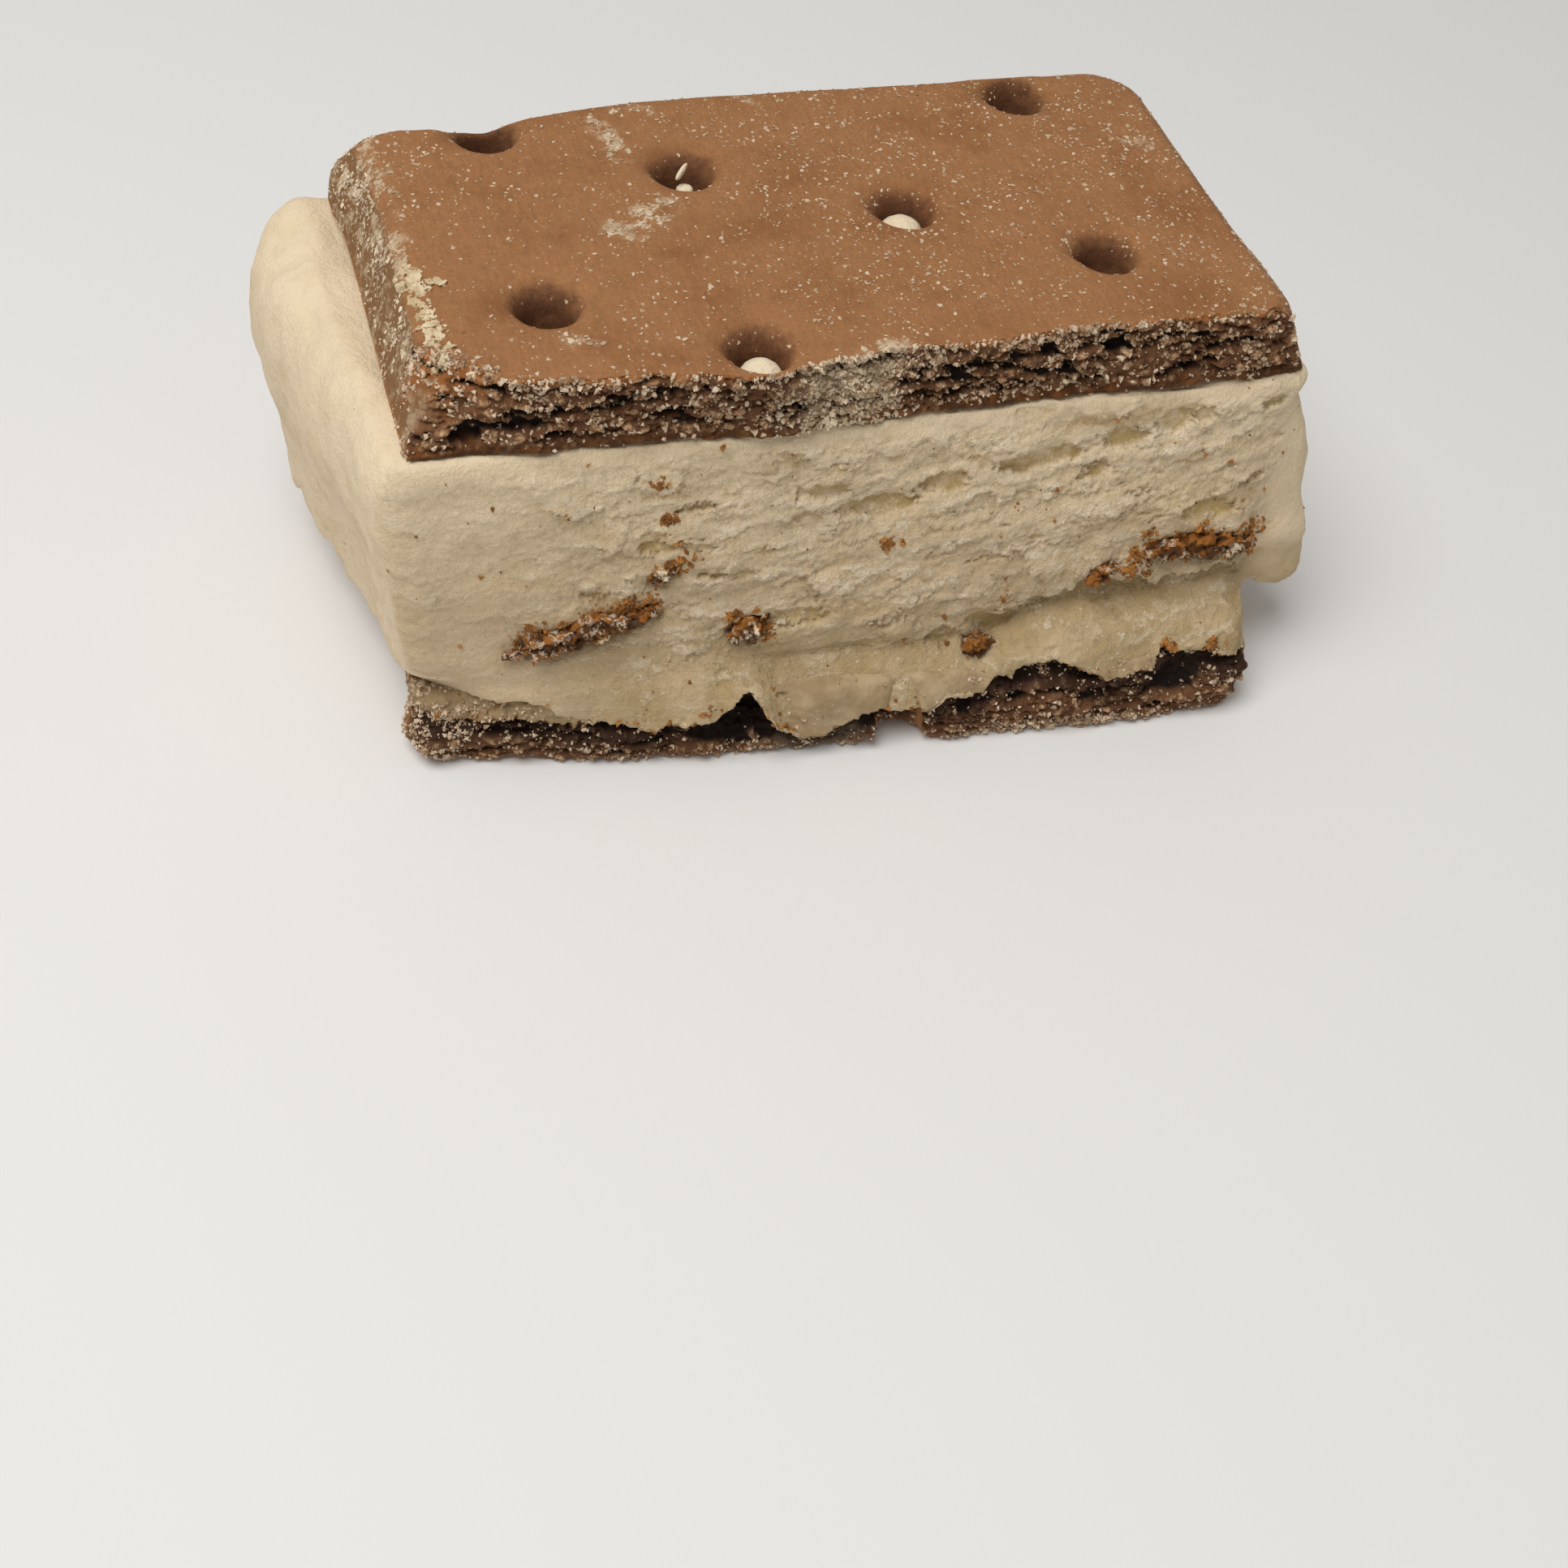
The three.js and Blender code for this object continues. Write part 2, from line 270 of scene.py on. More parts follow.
# inputs and outputs give the kind of each socket by its label.
def newGraph(name, treeKind, inputs, outputs):
    tree = bpy.data.node_groups.new(name, treeKind)
    graph = Graph(tree)
    for inOut, sockets in (("INPUT", inputs), ("OUTPUT", outputs)):
        for label, kind in sockets.items():
            tree.interface.new_socket(name=label, in_out=inOut, socket_type="NodeSocket" + kind)
    graph.end = graph.add("NodeGroupOutput")
    return graph, graph.fields("NodeGroupInput")


def positionAndNormal(graph):
    place = scaled(graph.field("GeometryNodeInputPosition"), 1 / mm)
    return place, graph.field("GeometryNodeInputNormal")


def shapeGraph(name):
    graph, start = newGraph(name, "GeometryNodeTree", {"Geometry": "Geometry"}, {"Geometry": "Geometry"})
    place, normal = positionAndNormal(graph)
    return graph, start["Geometry"], place, normal


def remember(geometry, **values):
    for name, value in values.items():
        sockets = {"Geometry": geometry, "Name": name, "Value": value}
        settings = {"data_type": "FLOAT", "domain": "POINT"}
        geometry = geometry.graph.field("GeometryNodeStoreNamedAttribute", sockets, **settings)
    return geometry


def blurred(value, rounds):
    sockets = {"Value": value, "Iterations": rounds}
    return value.graph.field("GeometryNodeBlurAttribute", sockets, data_type="FLOAT")


# Moves each point outward along its normal, inward straight into the break, upward and rightward.
def push(geometry, normal, outward, inward=0, upward=0, rightward=0):
    graph = geometry.graph
    aside = joined(graph, *[distance * mm for distance in (rightward, inward, upward)])
    total = onVector("ADD", scaled(normal, outward * mm), aside)
    return insideBox(graph.field("GeometryNodeSetPosition", {"Geometry": geometry, "Offset": total}))


# Keeps every point within the outer size of the food.
def insideBox(geometry):
    place = geometry.graph.field("GeometryNodeInputPosition")
    for operation, corner in (("MAXIMUM", cadBox[0]), ("MINIMUM", cadBox[1])):
        place = onVector(operation, place, corner)
    return geometry.graph.field("GeometryNodeSetPosition", {"Geometry": geometry, "Position": place})


# Soft ovals in the plane of the break: x, z, half width, half height and strength of each.
def ovals(x, z, places):
    masks = []
    for centreX, centreZ, halfX, halfZ, strength in places:
        across = (x - centreX) * (1 / halfX)
        high = (z - centreZ) * (1 / halfZ)
        masks.append(step(across * across + high * high, 1.4, 0.5) * strength)
    return maximum(*masks)


def reshape(piece, tree):
    addModifier(piece, "NODES", node_group=tree)
    bakeModifiers(piece)


# Camera, lights and floor

view = {
    "place": (-36.415 * mm, -96.363 * mm, 92.216 * mm),
    "rightward": (0.95610, -0.27555, 0.09972),
    "downward": (-0.14180, -0.73284, -0.66546),
    "forward": (0.25644, 0.62210, -0.73975),
    "lens": 49.416,
}


def makeCamera():
    camera = addObject("camera", bpy.data.cameras.new("camera"))
    camera.data.lens = view["lens"]
    camera.data.sensor_width = 36
    camera.data.clip_start = 0.005
    right = Vector(view["rightward"])
    up = -Vector(view["downward"])
    back = -Vector(view["forward"])
    turn = Matrix((right, up, back)).transposed().to_4x4()
    camera.matrix_world = Matrix.Translation(view["place"]) @ turn
    bpy.context.scene.camera = camera


studio = {
    "ambient": 0.33,
    "ambientColor": (1, 0.985, 0.96, 1),
    "key": {"place": (-0.145, -0.085, 0.376), "size": 0.26, "power": 1.18},
    "aim": (0, 0, 0.012),
    "floorSize": 4,
    "floorColor": (0.83, 0.82, 0.80, 1),
    "floorRoughness": 0.8,
}


def makeLight(name, place, size, power):
    data = bpy.data.lights.new(name, "AREA")
    data.shape = "DISK"
    data.size = size
    data.energy = power
    lamp = addObject(name, data)
    aim = Vector(studio["aim"]) - Vector(place)
    lamp.matrix_world = Matrix.Translation(place) @ aim.to_track_quat("-Z", "Y").to_matrix().to_4x4()


def makeStudio():
    world = bpy.data.worlds.new("studio")
    bpy.context.scene.world = world
    world.use_nodes = True
    background = world.node_tree.nodes["Background"]
    background.inputs["Color"].default_value = studio["ambientColor"]
    background.inputs["Strength"].default_value = studio["ambient"]
    makeLight("keyLight", **studio["key"])
    bpy.context.scene.view_settings.view_transform = "Standard"
    bpy.ops.object.select_all(action="DESELECT")
    bpy.ops.mesh.primitive_plane_add(size=studio["floorSize"], location=(0, 0, 0))
    floor = bpy.context.object
    floor.name = "floor"
    paint = bpy.data.materials.new("palePaper")
    paint.use_nodes = True
    shader = paint.node_tree.nodes["Principled BSDF"]
    shader.inputs["Base Color"].default_value = studio["floorColor"]
    shader.inputs["Roughness"].default_value = studio["floorRoughness"]
    floor.data.materials.append(paint)


makeCamera()
makeStudio()
print("stage: camera, lights and floor")


# What several materials share. First, soft patches that run lighter and darker over a colour.
def makeMottle():
    inputs = {"Color": "Color", "Place": "Vector", "Size": "Float", "Amount": "Float"}
    graph, start = newGraph("mottle", "ShaderNodeTree", inputs, {"Color": "Color"})
    spread = noise(start["Place"], 1 / start["Size"], 3, 0.6)
    swing = (spread - 0.5) * start["Amount"]
    return graph.finish(Color=scaled(start["Color"], 1 + swing * 2))


# Round dots of about Size, in a share of the places set by Share.
def makeDots():
    inputs = {"Place": "Vector", "Size": "Float", "Spacing": "Float", "Share": "Float"}
    graph, start = newGraph("dots", "ShaderNodeTree", inputs, {"Mask": "Float"})
    cell = cells(start["Place"], 1 / start["Spacing"])
    inside = combine("LESS_THAN", cell["Distance"], start["Size"] / start["Spacing"])
    kept = combine("LESS_THAN", split(cell["Color"])[0], start["Share"])
    return graph.finish(Mask=inside * kept)


# Fine grain as a height, from two sizes of noise.
def makeGrain():
    inputs = {"Place": "Vector", "Coarse": "Float", "Fine": "Float"}
    graph, start = newGraph("grain", "ShaderNodeTree", inputs, {"Height": "Float"})
    coarse = noise(start["Place"], start["Coarse"], 3, 0.6)
    fine = noise(start["Place"], start["Fine"], 3, 0.7)
    return graph.finish(Height=coarse * 0.6 + fine * 0.4)


# Overlapping flakes, as a height. Each leans out toward its lower edge and drops there.
def flakeHeight(place, size, detail):
    x, y, z = split(place)
    tilt = x * (0.06 + step(x, -7, 7) * -0.23)
    level = joined(place.graph, x, y, z + tilt)
    drift = noise(place, 0.8 / size, detail, 0.7, "Color")
    drift = scaled(shift(drift, -0.5, -0.5, -0.5), 3.4 * size)
    shrunk = stretch(onVector("ADD", level, drift), 0.36 / size, 0.3 / size, 1.1 / size)
    cell = cells(shrunk, 1)
    luck = split(cell["Color"])[0]
    lean = split(cell["Position"])[2] - split(shrunk)[2]
    return 0.25 + luck * 0.5 + lean * 0.6


def makeFlakes():
    outputs = {"Height": "Float", "Shade": "Float"}
    graph, start = newGraph("flakes", "ShaderNodeTree", {"Place": "Vector"}, outputs)
    place = start["Place"]
    broad = flakeHeight(place, 2, 5)
    middle = flakeHeight(shift(place, 9, 4, 2), 0.9, 5)
    small = flakeHeight(shift(place, 2, 0, 8), 0.42, 3)
    patches = step(noise(shift(place, 4, 1, 6), 0.28, 4, 0.6), 0.40, 0.58)
    others = step(noise(shift(place, 7, 2, 1), 0.45, 4, 0.6), 0.38, 0.60)
    underBroad = step(broad, 0.45, 0.05) * patches * 0.7
    underMiddle = step(middle, 0.45, 0) * others * 0.55
    underSmall = step(small, 0.45, 0) * 0.3
    heights = broad * 0.35 + middle * 0.4 + small * 0.4
    return graph.finish(Height=heights, Shade=underBroad + underMiddle + underSmall)


mottle = makeMottle()
dots = makeDots()
grain = makeGrain()
flakes = makeFlakes()


def newMaterial(name, roughness, specular):
    material = bpy.data.materials.new(name)
    material.use_nodes = True
    graph = Graph(material.node_tree)
    graph.end = material.node_tree.nodes["Principled BSDF"]
    graph.end.inputs["Roughness"].default_value = roughness
    graph.end.inputs["Specular IOR Level"].default_value = specular
    place = graph.field("ShaderNodeTexCoord", output="Object")
    return material, graph, scaled(place, 1 / mm)


def useGroup(group, output=0, **sockets):
    return sockets["Place"].graph.field("ShaderNodeGroup", sockets, output, node_tree=group)


def mottled(color, place, size, amount):
    return useGroup(mottle, Color=color, Place=place, Size=size, Amount=amount)


def dotted(place, size, spacing, share):
    return useGroup(dots, Place=place, Size=size, Spacing=spacing, Share=share)


def grainy(place, coarse, fine):
    return useGroup(grain, Place=place, Coarse=coarse, Fine=fine)


def mixColor(amount, first, second):
    return amount.graph.field("ShaderNodeMix", {0: amount, 6: first, 7: second}, 2, data_type="RGBA")


# Lays each colour over what is under it, where its mask is.
def layered(base, *layers):
    for amount, color in layers:
        base = mixColor(amount, base, color)
    return base


def finishShader(graph, baseColor, height, strength, distance):
    sockets = {"Height": height, "Strength": strength, "Distance": distance}
    relief = graph.field("ShaderNodeBump", sockets)
    graph.tree.links.new(baseColor.socket, graph.end.inputs["Base Color"])
    graph.tree.links.new(relief.socket, graph.end.inputs["Normal"])


def srgb(red, green, blue):
    def linear(value):
        value /= 255
        return value / 12.92 if value <= 0.04045 else ((value + 0.055) / 1.055) ** 2.4
    return (linear(red), linear(green), linear(blue), 1)


# The chocolate wafers

wafer = {
    "voxel": 0.3 * mm,
    "softening": 3,
    "breakCuts": 2,
    "skinSink": 0.14,
    "slitDepth": 0.5,
    "poreDepth": 0.3,
    "caveDepth": 0.9,
    "skinColor": srgb(158, 110, 70),
    "skinDark": srgb(143, 95, 57),
    "holeColor": srgb(86, 52, 32),
    "wallColor": srgb(132, 94, 58),
    "crumbColor": srgb(106, 70, 44),
    "crumbLight": srgb(216, 174, 130),
    "rimColor": srgb(168, 104, 50),
    "bandColor": srgb(70, 38, 8),
    "bandLight": srgb(120, 70, 22),
    "smearDark": srgb(162, 138, 104),
    "smearLight": srgb(188, 165, 130),
    "voidColor": srgb(28, 17, 11),
    "wedge": srgb(146, 124, 88),
    "fringe": srgb(150, 92, 44),
    "seamColor": srgb(38, 20, 10),
    "rind": srgb(142, 110, 88),
    "frostFilm": srgb(222, 202, 168),
}

# The pricked holes of the top wafer: place in plan and how far the prick pulled each one aside.
topHoles = [
    ((-16.7, -6.95), (0.3, -0.2)), ((-16.7, 8.8), (0.2, 0.1)), ((-6.2, -12.2), (-0.3, -0.1)),
    ((-6.2, 3.55), (-0.2, 0.35)), ((4.3, -1.7), (0.6, 0.5)), ((14.8, -6.95), (0, 0.15)),
    ((14.8, 8.8), (0.45, 0.3)),
]

# Hollows in the broken faces: x, z, half width, half height, strength.
topHollows = [
    (-14, 25, 1, 0.35, 0.9), (-11.1, 25.1, 0.9, 0.22, 0.7), (-11.8, 23.6, 0.8, 0.4, 0.9),
    (-21.6, 24.4, 0.5, 0.4, 0.8), (-21.7, 22.9, 0.9, 0.5, 1), (-19.4, 23.5, 2.2, 0.35, 0.8),
    (-17, 22.8, 1, 0.3, 0.8), (-10.2, 23, 1.2, 0.25, 0.7), (13.1, 24.9, 0.85, 0.6, 1),
    (11.2, 25.1, 0.6, 0.35, 0.8), (9.1, 25.1, 0.75, 0.5, 0.9), (4, 24.5, 0.75, 0.35, 0.9),
    (5.4, 25, 0.5, 0.3, 0.8), (1.2, 24.1, 0.5, 0.35, 0.8), (2.1, 23.2, 1, 0.3, 0.7),
    (10.4, 23.7, 0.8, 0.35, 0.9), (12.2, 22.8, 0.9, 0.3, 0.8), (17.9, 23, 0.5, 0.4, 0.9),
    (16.3, 22.9, 0.6, 0.3, 0.7),
]
bottomHollows = [
    (-6.4, 4.2, 1.2, 1.2, 1), (-6.7, 2.6, 2.9, 1, 1), (20.2, 3.4, 1.5, 1.5, 1), (22.4, 4.3, 1.6, 0.7, 0.9),
    (10.2, 4.3, 1.5, 0.5, 1), (7, 2.4, 0.6, 0.6, 0.9), (13.2, 4.6, 1.7, 0.5, 0.9), (10, 3, 0.7, 0.5, 0.9),
    (-14.2, 3, 1, 0.35, 0.8), (-19.5, 2.6, 1.4, 0.4, 0.8), (-10.2, 3.4, 1, 0.4, 0.7),
    (1.2, 2.6, 0.9, 0.9, 0.8), (16.2, 3, 1.2, 0.3, 0.7), (-7.6, 2, 2, 0.8, 1), (-4.6, 1.6, 1, 0.6, 0.9),
    (14.8, 4, 1.6, 0.4, 0.8),
]

# The ragged seam between bottom wafer and ice cream in the break: x and height.
seam = [
    (-25, 3.9), (-22, 3.5), (-20, 3.6), (-18, 3.5), (-16, 3.1), (-13.8, 3.3), (-12.2, 2.6), (-10.4, 3.1),
    (-8.2, 3.4), (-7.4, 4.7), (-6.4, 5.4), (-5.7, 4.6), (-4.6, 2.7), (-3, 1.6), (-1.8, 1.5), (0, 2.5),
    (1.6, 3.1), (3.4, 2.7), (4.6, 2.8), (5.7, 3.6), (7.8, 3.4), (8.5, 4.6), (9.6, 4.2), (10.6, 5.1),
    (12, 5.3), (13.6, 4.7), (15.4, 3.7), (16.8, 4.1), (18.4, 4.3), (18.9, 5.4), (20.2, 5), (22, 4.7),
    (23.2, 4.2), (25, 4.2),
]


# Stores how far above the seam each point lies.
def markSeam(piece):
    points = readVectors(piece.data.vertices, "co") / mm
    across, height = zip(*seam)
    storeValues(piece.data, "aboveSeam", points[:, 2] - np.interp(points[:, 0], across, height))


# The break shows a laminated crumb, with slits, pores, lumps and hollows. It is closed near outerFace and
# innerFace, the heights of the wafer's own faces.
def crumbGraph(name, outerFace, innerFace, hollows, breakStart):
    graph, geometry, place, normal = shapeGraph(name)
    x, y, z = split(place)
    ny, nz = split(normal)[1:]
    outerDirection = 1 if outerFace > innerFace else -1
    turned = step(x, -20, -21.5) * -0.3
    leaning = ny + nz * (0.4 * outerDirection) + turned
    facing = step(leaning, -0.25, -0.7) * step(y, breakStart, breakStart - 1.2)
    leftCorner = step(x, -18.5, -20.5) * 2.4
    exposedTop = step(nz, 0.3, 0.7) * step(z, 6, 5)
    exposedTop = exposedTop * step(y - leftCorner, -12.6, -13.6)
    chip = step(graph.recall("chip") + sway(place, 1.1, 4, 0.7) * 1.4, 0.3, 0.55)
    broken = blurred(maximum(facing, exposedTop, chip), 2)
    towardsOuter = step(abs(z - outerFace), 0.2, 0.7)
    innerWave = sway(place, 0.9, 3, 0.6) * 1.2
    towardsInner = step(abs(z - innerFace) + innerWave, 0.4, 0.9)
    closed = towardsOuter * towardsInner
    creamy = 0
    if outerFace < innerFace:
        sink = sway(place, 1.6, 3, 0.6) * 1.1
        creamy = step(graph.recall("aboveSeam") + sink, -0.1, 0.12)
        creamy = creamy * step(y, -10.5, -11.5) * step(z, 1, 1.6)
    wander = sway(place, 0.9, 3, 0.6) * 1.5
    hollow = ovals(x + wander, z - wander * 0.5, hollows)
    slits = step(noise(stretch(place, 0.34, 0.4, 1.7), 1, 4, 0.65), 0.52, 0.57)
    pores = step(cells(stretch(place, 1, 1, 1.6), 1.5)["Distance"], 0.34, 0.16)
    pores = pores * (1 - chip)

    def sunken(slit, pore, cave):
        deepest = maximum(slits * slit * closed, pores * pore * closed, hollow * cave * towardsOuter)
        return deepest * broken * (1 - creamy)

    depth = sunken(wafer["slitDepth"], wafer["poreDepth"], wafer["caveDepth"])
    lumps = 0.42 - cells(stretch(place, 1, 1, 1.5), 1.25)["Distance"]
    crumbs = 0.4 - cells(place, 2.9)["Distance"]
    rough = lumps * 0.42 + crumbs * 0.24 + sway(place, 3.6) * 0.3
    wavy = sway(place, 0.13) * 0.2
    pocks = step(cells(place, 0.42)["Distance"], 0.13, 0.05)
    skin = wavy - pocks * 0.1 - wafer["skinSink"]
    smooth = 0.6 if outerFace > innerFace else 0
    crusty = step(x, -15, -19) * 0.6
    flat = creamy * (0.85 - crusty) + (1 - towardsInner) * smooth
    crumbly = broken * (1 - combine("MINIMUM", flat, 0.85))
    outward = rough * crumbly + skin * (1 - broken)
    outward = outward + creamy * broken * 0.2
    steep = step(nz * outerDirection, 0.8, 0.45)
    aside = maximum(step(abs(x), 21, 22.6), step(y, 10.5, 11.8))
    patch = bump(x, -2, 5) + sway(place, 0.8, 4, 0.7) * 2
    geometry = remember(
        geometry,
        broken=broken,
        patch=step(patch, 0.1, 0.9) * broken,
        # pit marks where the material paints near-black shade into the sunken slits, pores and caves.
        pit=sunken(0.8, 0.5, 1),
        rise=0.4 + rough * 1.6,
        rim=broken * (1 - towardsOuter),
        band=broken * (1 - towardsInner),
        creamy=creamy,
        wall=steep * aside * (1 - broken),
    )
    low = step(z, 4.4, 1.2) * step(y, -8.5, -12)
    leftward = step(x, -17, -22) * low * -1.6
    corner = step(x, 21.5, 23) * bump(z, 3, 1.6) * step(y, -10, -13) * 0.45
    return graph.finish(Geometry=push(geometry, normal, outward, depth, rightward=leftward + corner))


# Soft funnels round the holes, and the notch that one of them cuts in the back edge.
def funnelGraph():
    graph, geometry, place, normal = shapeGraph("funnels")
    x, y, z = split(place)
    nearTop = step(z, 22.5, 25.5)
    dark, sunk, rightward, backward = [], [], [], []
    for (holeX, holeY), (pullX, pullY) in topHoles:
        offset = shift(stretch(place, 1, 1, 0), -holeX, -holeY, 0)
        away = length(offset)
        around = length(shift(stretch(offset, 0.9, 1, 1), 0, -0.6, 0))
        dark.append(step(around, 2.6, 0.9))
        beyond = step(y - holeY, -0.9, 0.7)
        sunk.append(step(around, 2.7, 1.1) * beyond)
        pulled = step(away, 4, 1.8)
        rightward.append(pulled * pullX)
        backward.append(pulled * pullY)
    # The hole mask is painted shade: the wafer's colour darkens in and around each hole.
    hole = maximum(*dark)
    backEdge = 1 - step(y, 9.5, 11) * 0.7
    sink = maximum(*sunk) * 0.5 * nearTop * backEdge
    notch = bump(x, -16.4, 1.6) * step(y, 9.6, 10.8) * nearTop * 0.25
    backLeft = step(x, -11, -18.5) * step(y, 9, 12.5)
    inward = sum(backward) - backLeft * 0.65
    shoulder = step(x, -22.3, -24) * step(y, 5, 9) * bump(z, 23.6, 2.2)
    geometry = remember(geometry, hole=hole * step(y, -13.6, -12.6))
    upward = (sink + notch) * -1
    return graph.finish(Geometry=push(geometry, normal, shoulder * 0.5, inward, upward, sum(rightward)))


# Strokes of smeared cream and frost on the skin: start and end in plan, half width, strength.
topStrokes = [
    ((-10.2, 9.2), (-9.5, 5.6), 0.55, 1), ((-8.8, 10.3), (-7, 9.8), 0.45, 0.6),
    ((-11.2, -1.6), (-8.5, 0.5), 0.9, 1), ((-16, -10.2), (-14.9, -10.9), 0.35, 0.7),
    ((19.4, 4.2), (21.4, 3), 0.3, 0.9), ((-1.5, 11), (-0.4, 9.8), 0.2, 0.7),
    ((-24.2, 9.6), (-23.7, 4.6), 1, 1), ((-23.6, 3.8), (-23.4, -2), 0.8, 0.7),
    ((24.1, 3), (23.4, -9.6), 0.6, 0.5), ((-1.2, -13.2), (0.6, -13.4), 0.6, 0.9),
]
ridgeStrokes = [
    ((-23, -2.9), (-22.7, -5), 0.36, 1), ((-22.2, -4.6), (-21.2, -4.8), 0.12, 0.9),
    ((-22.8, -5.2), (-22.5, -7.6), 0.25, 0.7), ((-22.6, -7.8), (-22.2, -9), 0.36, 1),
    ((-22.4, -9.2), (-22.4, -10.6), 0.28, 1),
]

# Where the front left corner of the top wafer has crumbled.
chipStrokes = [
    ((-23.9, -9.8), (-22.3, -11.3), 0.8, 1), ((-22.3, -11.3), (-20.3, -12.2), 0.4, 1),
]


# Stores how near each point lies to the strokes, in the plane of the two axes.
def paintStrokes(piece, attributeName, strokes, above, axes=(0, 1)):
    points = readVectors(piece.data.vertices, "co") / mm
    seen = points[:, list(axes)]
    total = np.zeros(len(points), np.float32)
    for start, finish, halfWidth, strength in strokes:
        start, finish = np.array(start), np.array(finish)
        along = finish - start
        share = np.clip(((seen - start) @ along) / (along @ along), 0, 1)
        away = np.linalg.norm(seen - start - share[:, None] * along, axis=1)
        total = np.maximum(total, strength * np.clip(1.6 - 1.6 * away / (1.6 * halfWidth), 0, 1))
    total[points[:, 2] < above] = 0
    storeValues(piece.data, attributeName, total)


def waferMaterial(name):
    material, graph, place = newMaterial(name, 0.82, 0.25)
    patch = noise(place, 0.22, 4, 0.6)
    skin = mixColor(step(patch, 0.42, 0.75), wafer["skinColor"], wafer["skinDark"])
    skin = mottled(skin, place, 0.8, 0.12)
    skin = mottled(skin, place, 0.2, 0.2)
    fibres = stretch(place, 1, 0.22, 1)
    skin = mottled(skin, fibres, 0.22, 0.22)
    # Painted shade in and around the pricked holes, dark brown.
    ragged = graph.surface("hole") + sway(place, 1.6, 5, 0.75)
    shadedHole = mottled(wafer["holeColor"], place, 0.35, 0.9)
    skin = mixColor(step(ragged, 0.25, 1.1) * 0.9, skin, shadedHole)
    wall = mixColor(graph.surface("wall"), skin, wafer["wallColor"])
    seamLine = bump(split(place)[2], 21.8, 0.6) * step(patch, 0.42, 0.55)
    filmPatch = step(noise(place, 0.9, 5, 0.75), 0.47, 0.66)
    film = maximum(graph.surface("smear"), graph.surface("wall") * 0.52)
    wall = layered(
        wall,
        (seamLine * 0.8, wafer["rimColor"]),
        (dotted(place, 0.1, 1.5, 0.3) * 0.5, wafer["voidColor"]),
        (filmPatch * film * 0.95, wafer["frostFilm"]),
        (dotted(place, 0.07, 0.45, 0.3) * 0.35, wafer["frostFilm"]),
    )
    fleck = noise(place, 2, 3, 0.7) * 0.6 + graph.surface("rise") * 0.4
    crumb = mixColor(step(fleck, 0.42, 0.66), wafer["crumbColor"], wafer["crumbLight"])
    crumb = mottled(crumb, place, 2.5, 0.4)
    warmth = step(noise(place, 0.6, 3), 0.3, 0.55)
    warm = maximum(graph.surface("rim"), graph.surface("chip") * 0.8)
    height = split(place)[2]
    rimColor = mixColor(step(height, 8, 12), wafer["rind"], wafer["rimColor"])
    speckle = step(noise(place, 1.3, 4, 0.7), 0.44, 0.66)
    bandColor = mixColor(speckle, wafer["bandColor"], wafer["bandLight"])
    seamShade = step(graph.surface("aboveSeam"), -2.6, -0.6) * step(height, 8, 6)
    crumb = layered(
        crumb,
        (warm * warmth * 0.9, rimColor),
        (graph.surface("patch") * 0.35, wafer["frostFilm"]),
        # Painted shade: the sunken slits, pores and caves are coloured near black.
        (step(graph.surface("pit"), 0.25, 0.8), wafer["voidColor"]),
        (graph.surface("band") * 0.85, bandColor),
        (seamShade * 0.88, wafer["seamColor"]),
    )
    base = mixColor(graph.surface("broken"), wall, crumb)
    tone = step(noise(place, 0.6, 4, 0.6), 0.36, 0.66)
    smeared = mixColor(tone, wafer["smearDark"], wafer["smearLight"])
    across = split(place)[0]
    # On the left wedge the smear turns olive-grey: partly its own tint, partly painted shade.
    wedge = step(across, -11, -18) + sway(place, 0.9, 3, 0.6)
    smeared = mixColor(step(wedge, 0.4, 0.9) * 0.7, smeared, wafer["wedge"])
    creamy = graph.surface("creamy")
    fringe = creamy * (1 - creamy) * 4
    smeared = mixColor(fringe * 0.7, smeared, wafer["fringe"])
    base = mixColor(creamy, base, smeared)
    fine = grainy(place, 2.2, 7)
    finishShader(graph, base, fine, 0.6, 0.15 * mm)
    return material


def makeWafer(node, name, outerFace, innerFace, hollows, breakStart):
    piece = pieceFromNode(node, name)
    soften(piece, wafer["voxel"], wafer["softening"])
    refineBreak(piece, (breakStart + 0.2) * mm, wafer["breakCuts"])
    markSeam(piece)
    paintStrokes(piece, "chip", chipStrokes, 23)
    reshape(piece, crumbGraph(name + "Crumb", outerFace, innerFace, hollows, breakStart))
    if outerFace > innerFace:
        reshape(piece, funnelGraph())
        paintStrokes(piece, "smear", topStrokes, 23)
        paintStrokes(piece, "ridge", ridgeStrokes, 24)
    shadeSmooth(piece)
    piece.data.materials.append(waferMaterial(name + "Chocolate"))
    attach(piece, "root")
    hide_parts(node)
    print("stage:", name, len(piece.data.polygons), "faces")
    return piece


topWafer = makeWafer("top_wafer", "topWafer", 26.5, 21.7, topHollows, -11.6)
bottomWafer = makeWafer("bottom_wafer", "bottomWafer", 0, 4.8, bottomHollows, -10.5)


# The ice cream

cream = {
    "voxel": 0.44 * mm,
    "softening": 4,
    "breakCuts": 2,
    "lipDepth": 0.2,
    "fineLipDepth": 0.13,
    "hollowDepth": 0.26,
    "color": srgb(230, 209, 178),
    "tornColor": srgb(231, 209, 174),
    "shade": srgb(212, 188, 150),
    "endColor": srgb(238, 222, 194),
    "low": srgb(180, 150, 104),
    "below": srgb(186, 160, 122),
    "gap": srgb(24, 15, 11),
    "crumb": srgb(74, 46, 30),
    "olive": srgb(178, 150, 88),
    "grey": srgb(192, 170, 134),
    "recess": srgb(172, 147, 102),
    "frost": srgb(246, 234, 212),
    "freckle": srgb(140, 100, 58),
    "pale": srgb(246, 226, 190),
}


